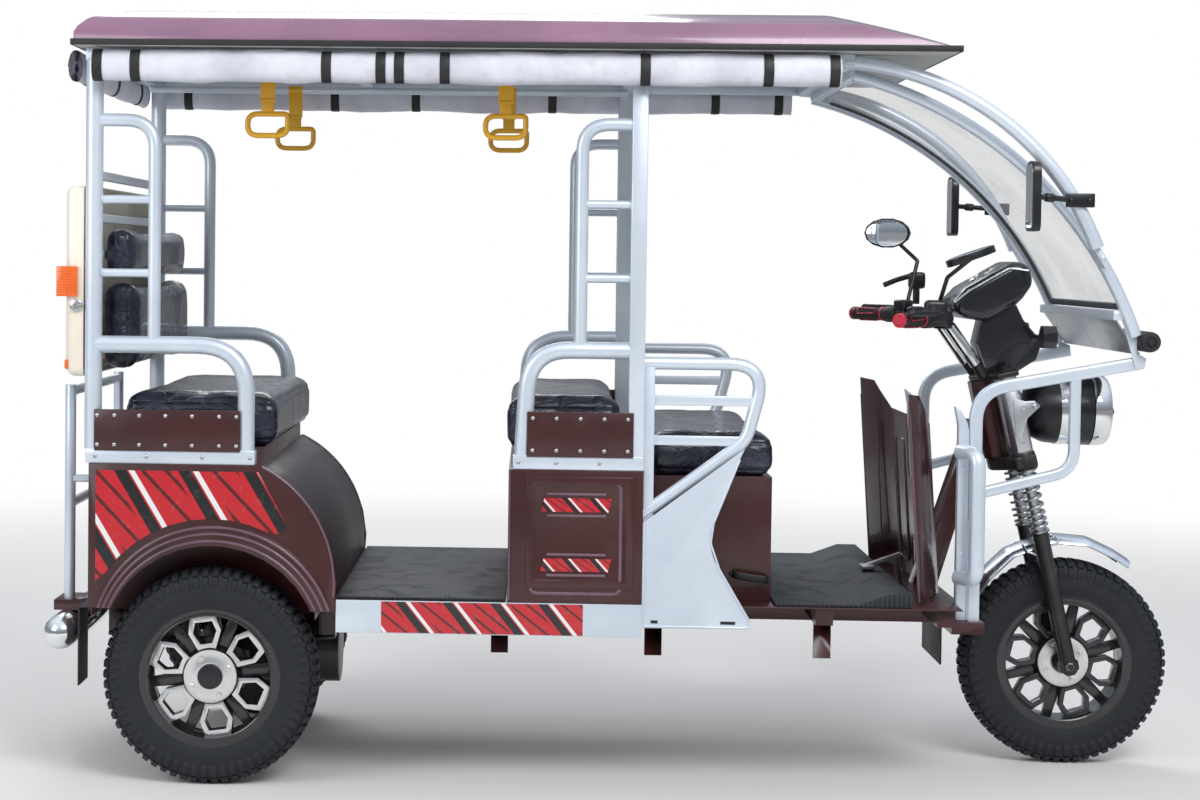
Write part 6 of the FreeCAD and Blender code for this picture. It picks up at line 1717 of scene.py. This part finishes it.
@dataclass(frozen=True)
class Studio:
    """The floor, the lights, the surroundings and the camera of the photograph."""

    place: Point = (-0.21565, -5.4754, 1.2367)
    yaw: float = 0.0360
    pitch: float = 0.0330
    roll: float = 0.0117
    lens: float = 65.57
    sensor: float = 36.0
    shift: Pair = (0.1204, -0.0583)
    ambient: float = 0.55
    floor_r: float = 7.0

    def link(self, name: str, data: Any, place: Matrix = Matrix()) -> bpy.types.Object:
        """Puts a camera, lamp or mesh in the scene."""
        thing = bpy.data.objects.new(name, data)
        thing.matrix_world = place
        bpy.context.scene.collection.objects.link(thing)
        return thing

    def camera(self) -> None:
        """Sets the camera at the photograph's viewing angle."""
        right = Vector((math.cos(self.yaw), math.sin(self.yaw), 0.0))
        ahead = Vector((-math.sin(self.yaw), math.cos(self.yaw), 0.0))
        view = ahead * math.cos(self.pitch) - UP * math.sin(self.pitch)
        top = UP * math.cos(self.pitch) + ahead * math.sin(self.pitch)
        across = right * math.cos(self.roll) + top * math.sin(self.roll)
        upright = top * math.cos(self.roll) - right * math.sin(self.roll)
        lens = bpy.data.cameras.new("photo_camera")
        lens.lens, lens.sensor_width = self.lens, self.sensor
        lens.shift_x, lens.shift_y = self.shift
        turn = Matrix((across, upright, -view)).transposed().to_4x4()
        bpy.context.scene.camera = self.link("photo_camera", lens, Matrix.Translation(self.place) @ turn)

    def lamp(self, name: str, place: Point, size: Pair, power: float, aim: Point) -> None:
        """Hangs one soft rectangular lamp.

        Args:
            name: its name.
            place: where it hangs.
            size: its width and height in metres.
            power: its power in watts.
            aim: the point that it looks at.
        """
        light = bpy.data.lights.new(name, "AREA")
        light.shape, light.energy = "RECTANGLE", power
        light.size, light.size_y = size
        run = Vector(aim) - Vector(place)
        self.link(name, light, Matrix.Translation(place) @ run.to_track_quat("-Z", "Y").to_matrix().to_4x4())

    def surroundings(self) -> None:
        """Makes the world: white to the camera and through glass, a pale sky in reflections, even light elsewhere."""
        world = bpy.data.worlds.new("studio")
        graph = Graph("studio", world)
        ray = "ShaderNodeLightPath"
        seen = graph.node(ray, output="Is Camera Ray") + graph.node(ray, output="Is Transmission Ray")
        mirrored = graph.node(ray, output="Is Glossy Ray")
        stops = ((0.0, (0.30, 0.30, 0.31)), (0.06, (0.20, 0.21, 0.23)), (0.30, (0.34, 0.38, 0.44)),
                 (0.70, (0.72, 0.80, 0.92)), (1.0, (0.92, 0.97, 1.0)))
        sky = graph.node("ShaderNodeValToRGB", {"stops": stops}, {0: graph.axis("Z")})
        even = graph.node("ShaderNodeBackground", inputs={"Color": (0.93, 0.96, 1.0, 1.0), "Strength": self.ambient})
        pale = graph.node("ShaderNodeBackground", inputs={"Color": sky})
        white = graph.node("ShaderNodeBackground", inputs={"Color": (1.0, 1.0, 1.0, 1.0)})
        both = graph.node("ShaderNodeMixShader", inputs={0: mirrored, 1: even, 2: pale})
        graph.end(graph.node("ShaderNodeMixShader", inputs={0: seen, 1: both, 2: white}), "ShaderNodeOutputWorld")
        bpy.context.scene.world = world

    def floor(self, finish: bpy.types.Material) -> None:
        """Lays the pale floor under the wheels.

        Args:
            finish: its material.
        """
        bm = bmesh.new()
        bmesh.ops.create_circle(bm, cap_ends=True, radius=self.floor_r, segments=64)
        mesh = bpy.data.meshes.new("studio_floor")
        bm.to_mesh(mesh)
        bm.free()
        mesh.materials.append(finish)
        self.link("studio_floor", mesh)

    def build(self, palette: Palette) -> None:
        """Builds the whole studio.

        Args:
            palette: the finishes, of which it takes the floor's.
        """
        bpy.context.scene.view_settings.view_transform = "Standard"
        self.camera()
        self.surroundings()
        self.floor(palette.floor)
        self.lamp("key_light", (1.6, -3.8, 4.2), (2.6, 2.0), 150.0, (0.0, 0.0, 0.7))
        self.lamp("fill_light", (-3.4, -2.6, 2.2), (2.0, 2.0), 45.0, (0.0, 0.0, 0.8))
        self.lamp("back_light", (-1.0, 3.6, 3.6), (3.0, 2.0), 70.0, (0.0, 0.0, 0.8))


def main() -> None:
    """Loads the frame and builds every sub-assembly; each new piece logs its number of faces."""
    logging.basicConfig(level=logging.INFO, format="%(message)s")
    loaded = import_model()
    palette = Palette()
    Studio().build(palette)
    frame = Frame(loaded, palette)
    Wheel(frame, Body.FRONT_WHEEL, "front_{}", (WHEELBASE, 0.0, AXLE_Z), bright=False, clock=-17.0).build()
    Wheel(frame, Body.REAR_RIGHT, "rear_{}_right", (0.0, -395.0, AXLE_Z)).build()
    Wheel(frame, Body.REAR_LEFT, "rear_{}_left", (0.0, 395.0, AXLE_Z), face=1).build()
    SoftGoods().build(frame)
    riser = Paint("riser_paint", (0.020, 0.009, 0.012), (0.013, 0.006, 0.008), roughness=0.5, coat=0.05,
                  dust_share=0.04)
    frame.refined("rear_seat_riser", finish=riser.make())
    for assembly in (SideFrames(frame, Body.VEHICLE), BodyTrim(frame, Body.VEHICLE), Steering(frame, Body.STEERING),
                     Nose(frame, Body.VEHICLE)):
        assembly.build()
    frame.rest()
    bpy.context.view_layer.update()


if __name__ == "__main__":
    main()
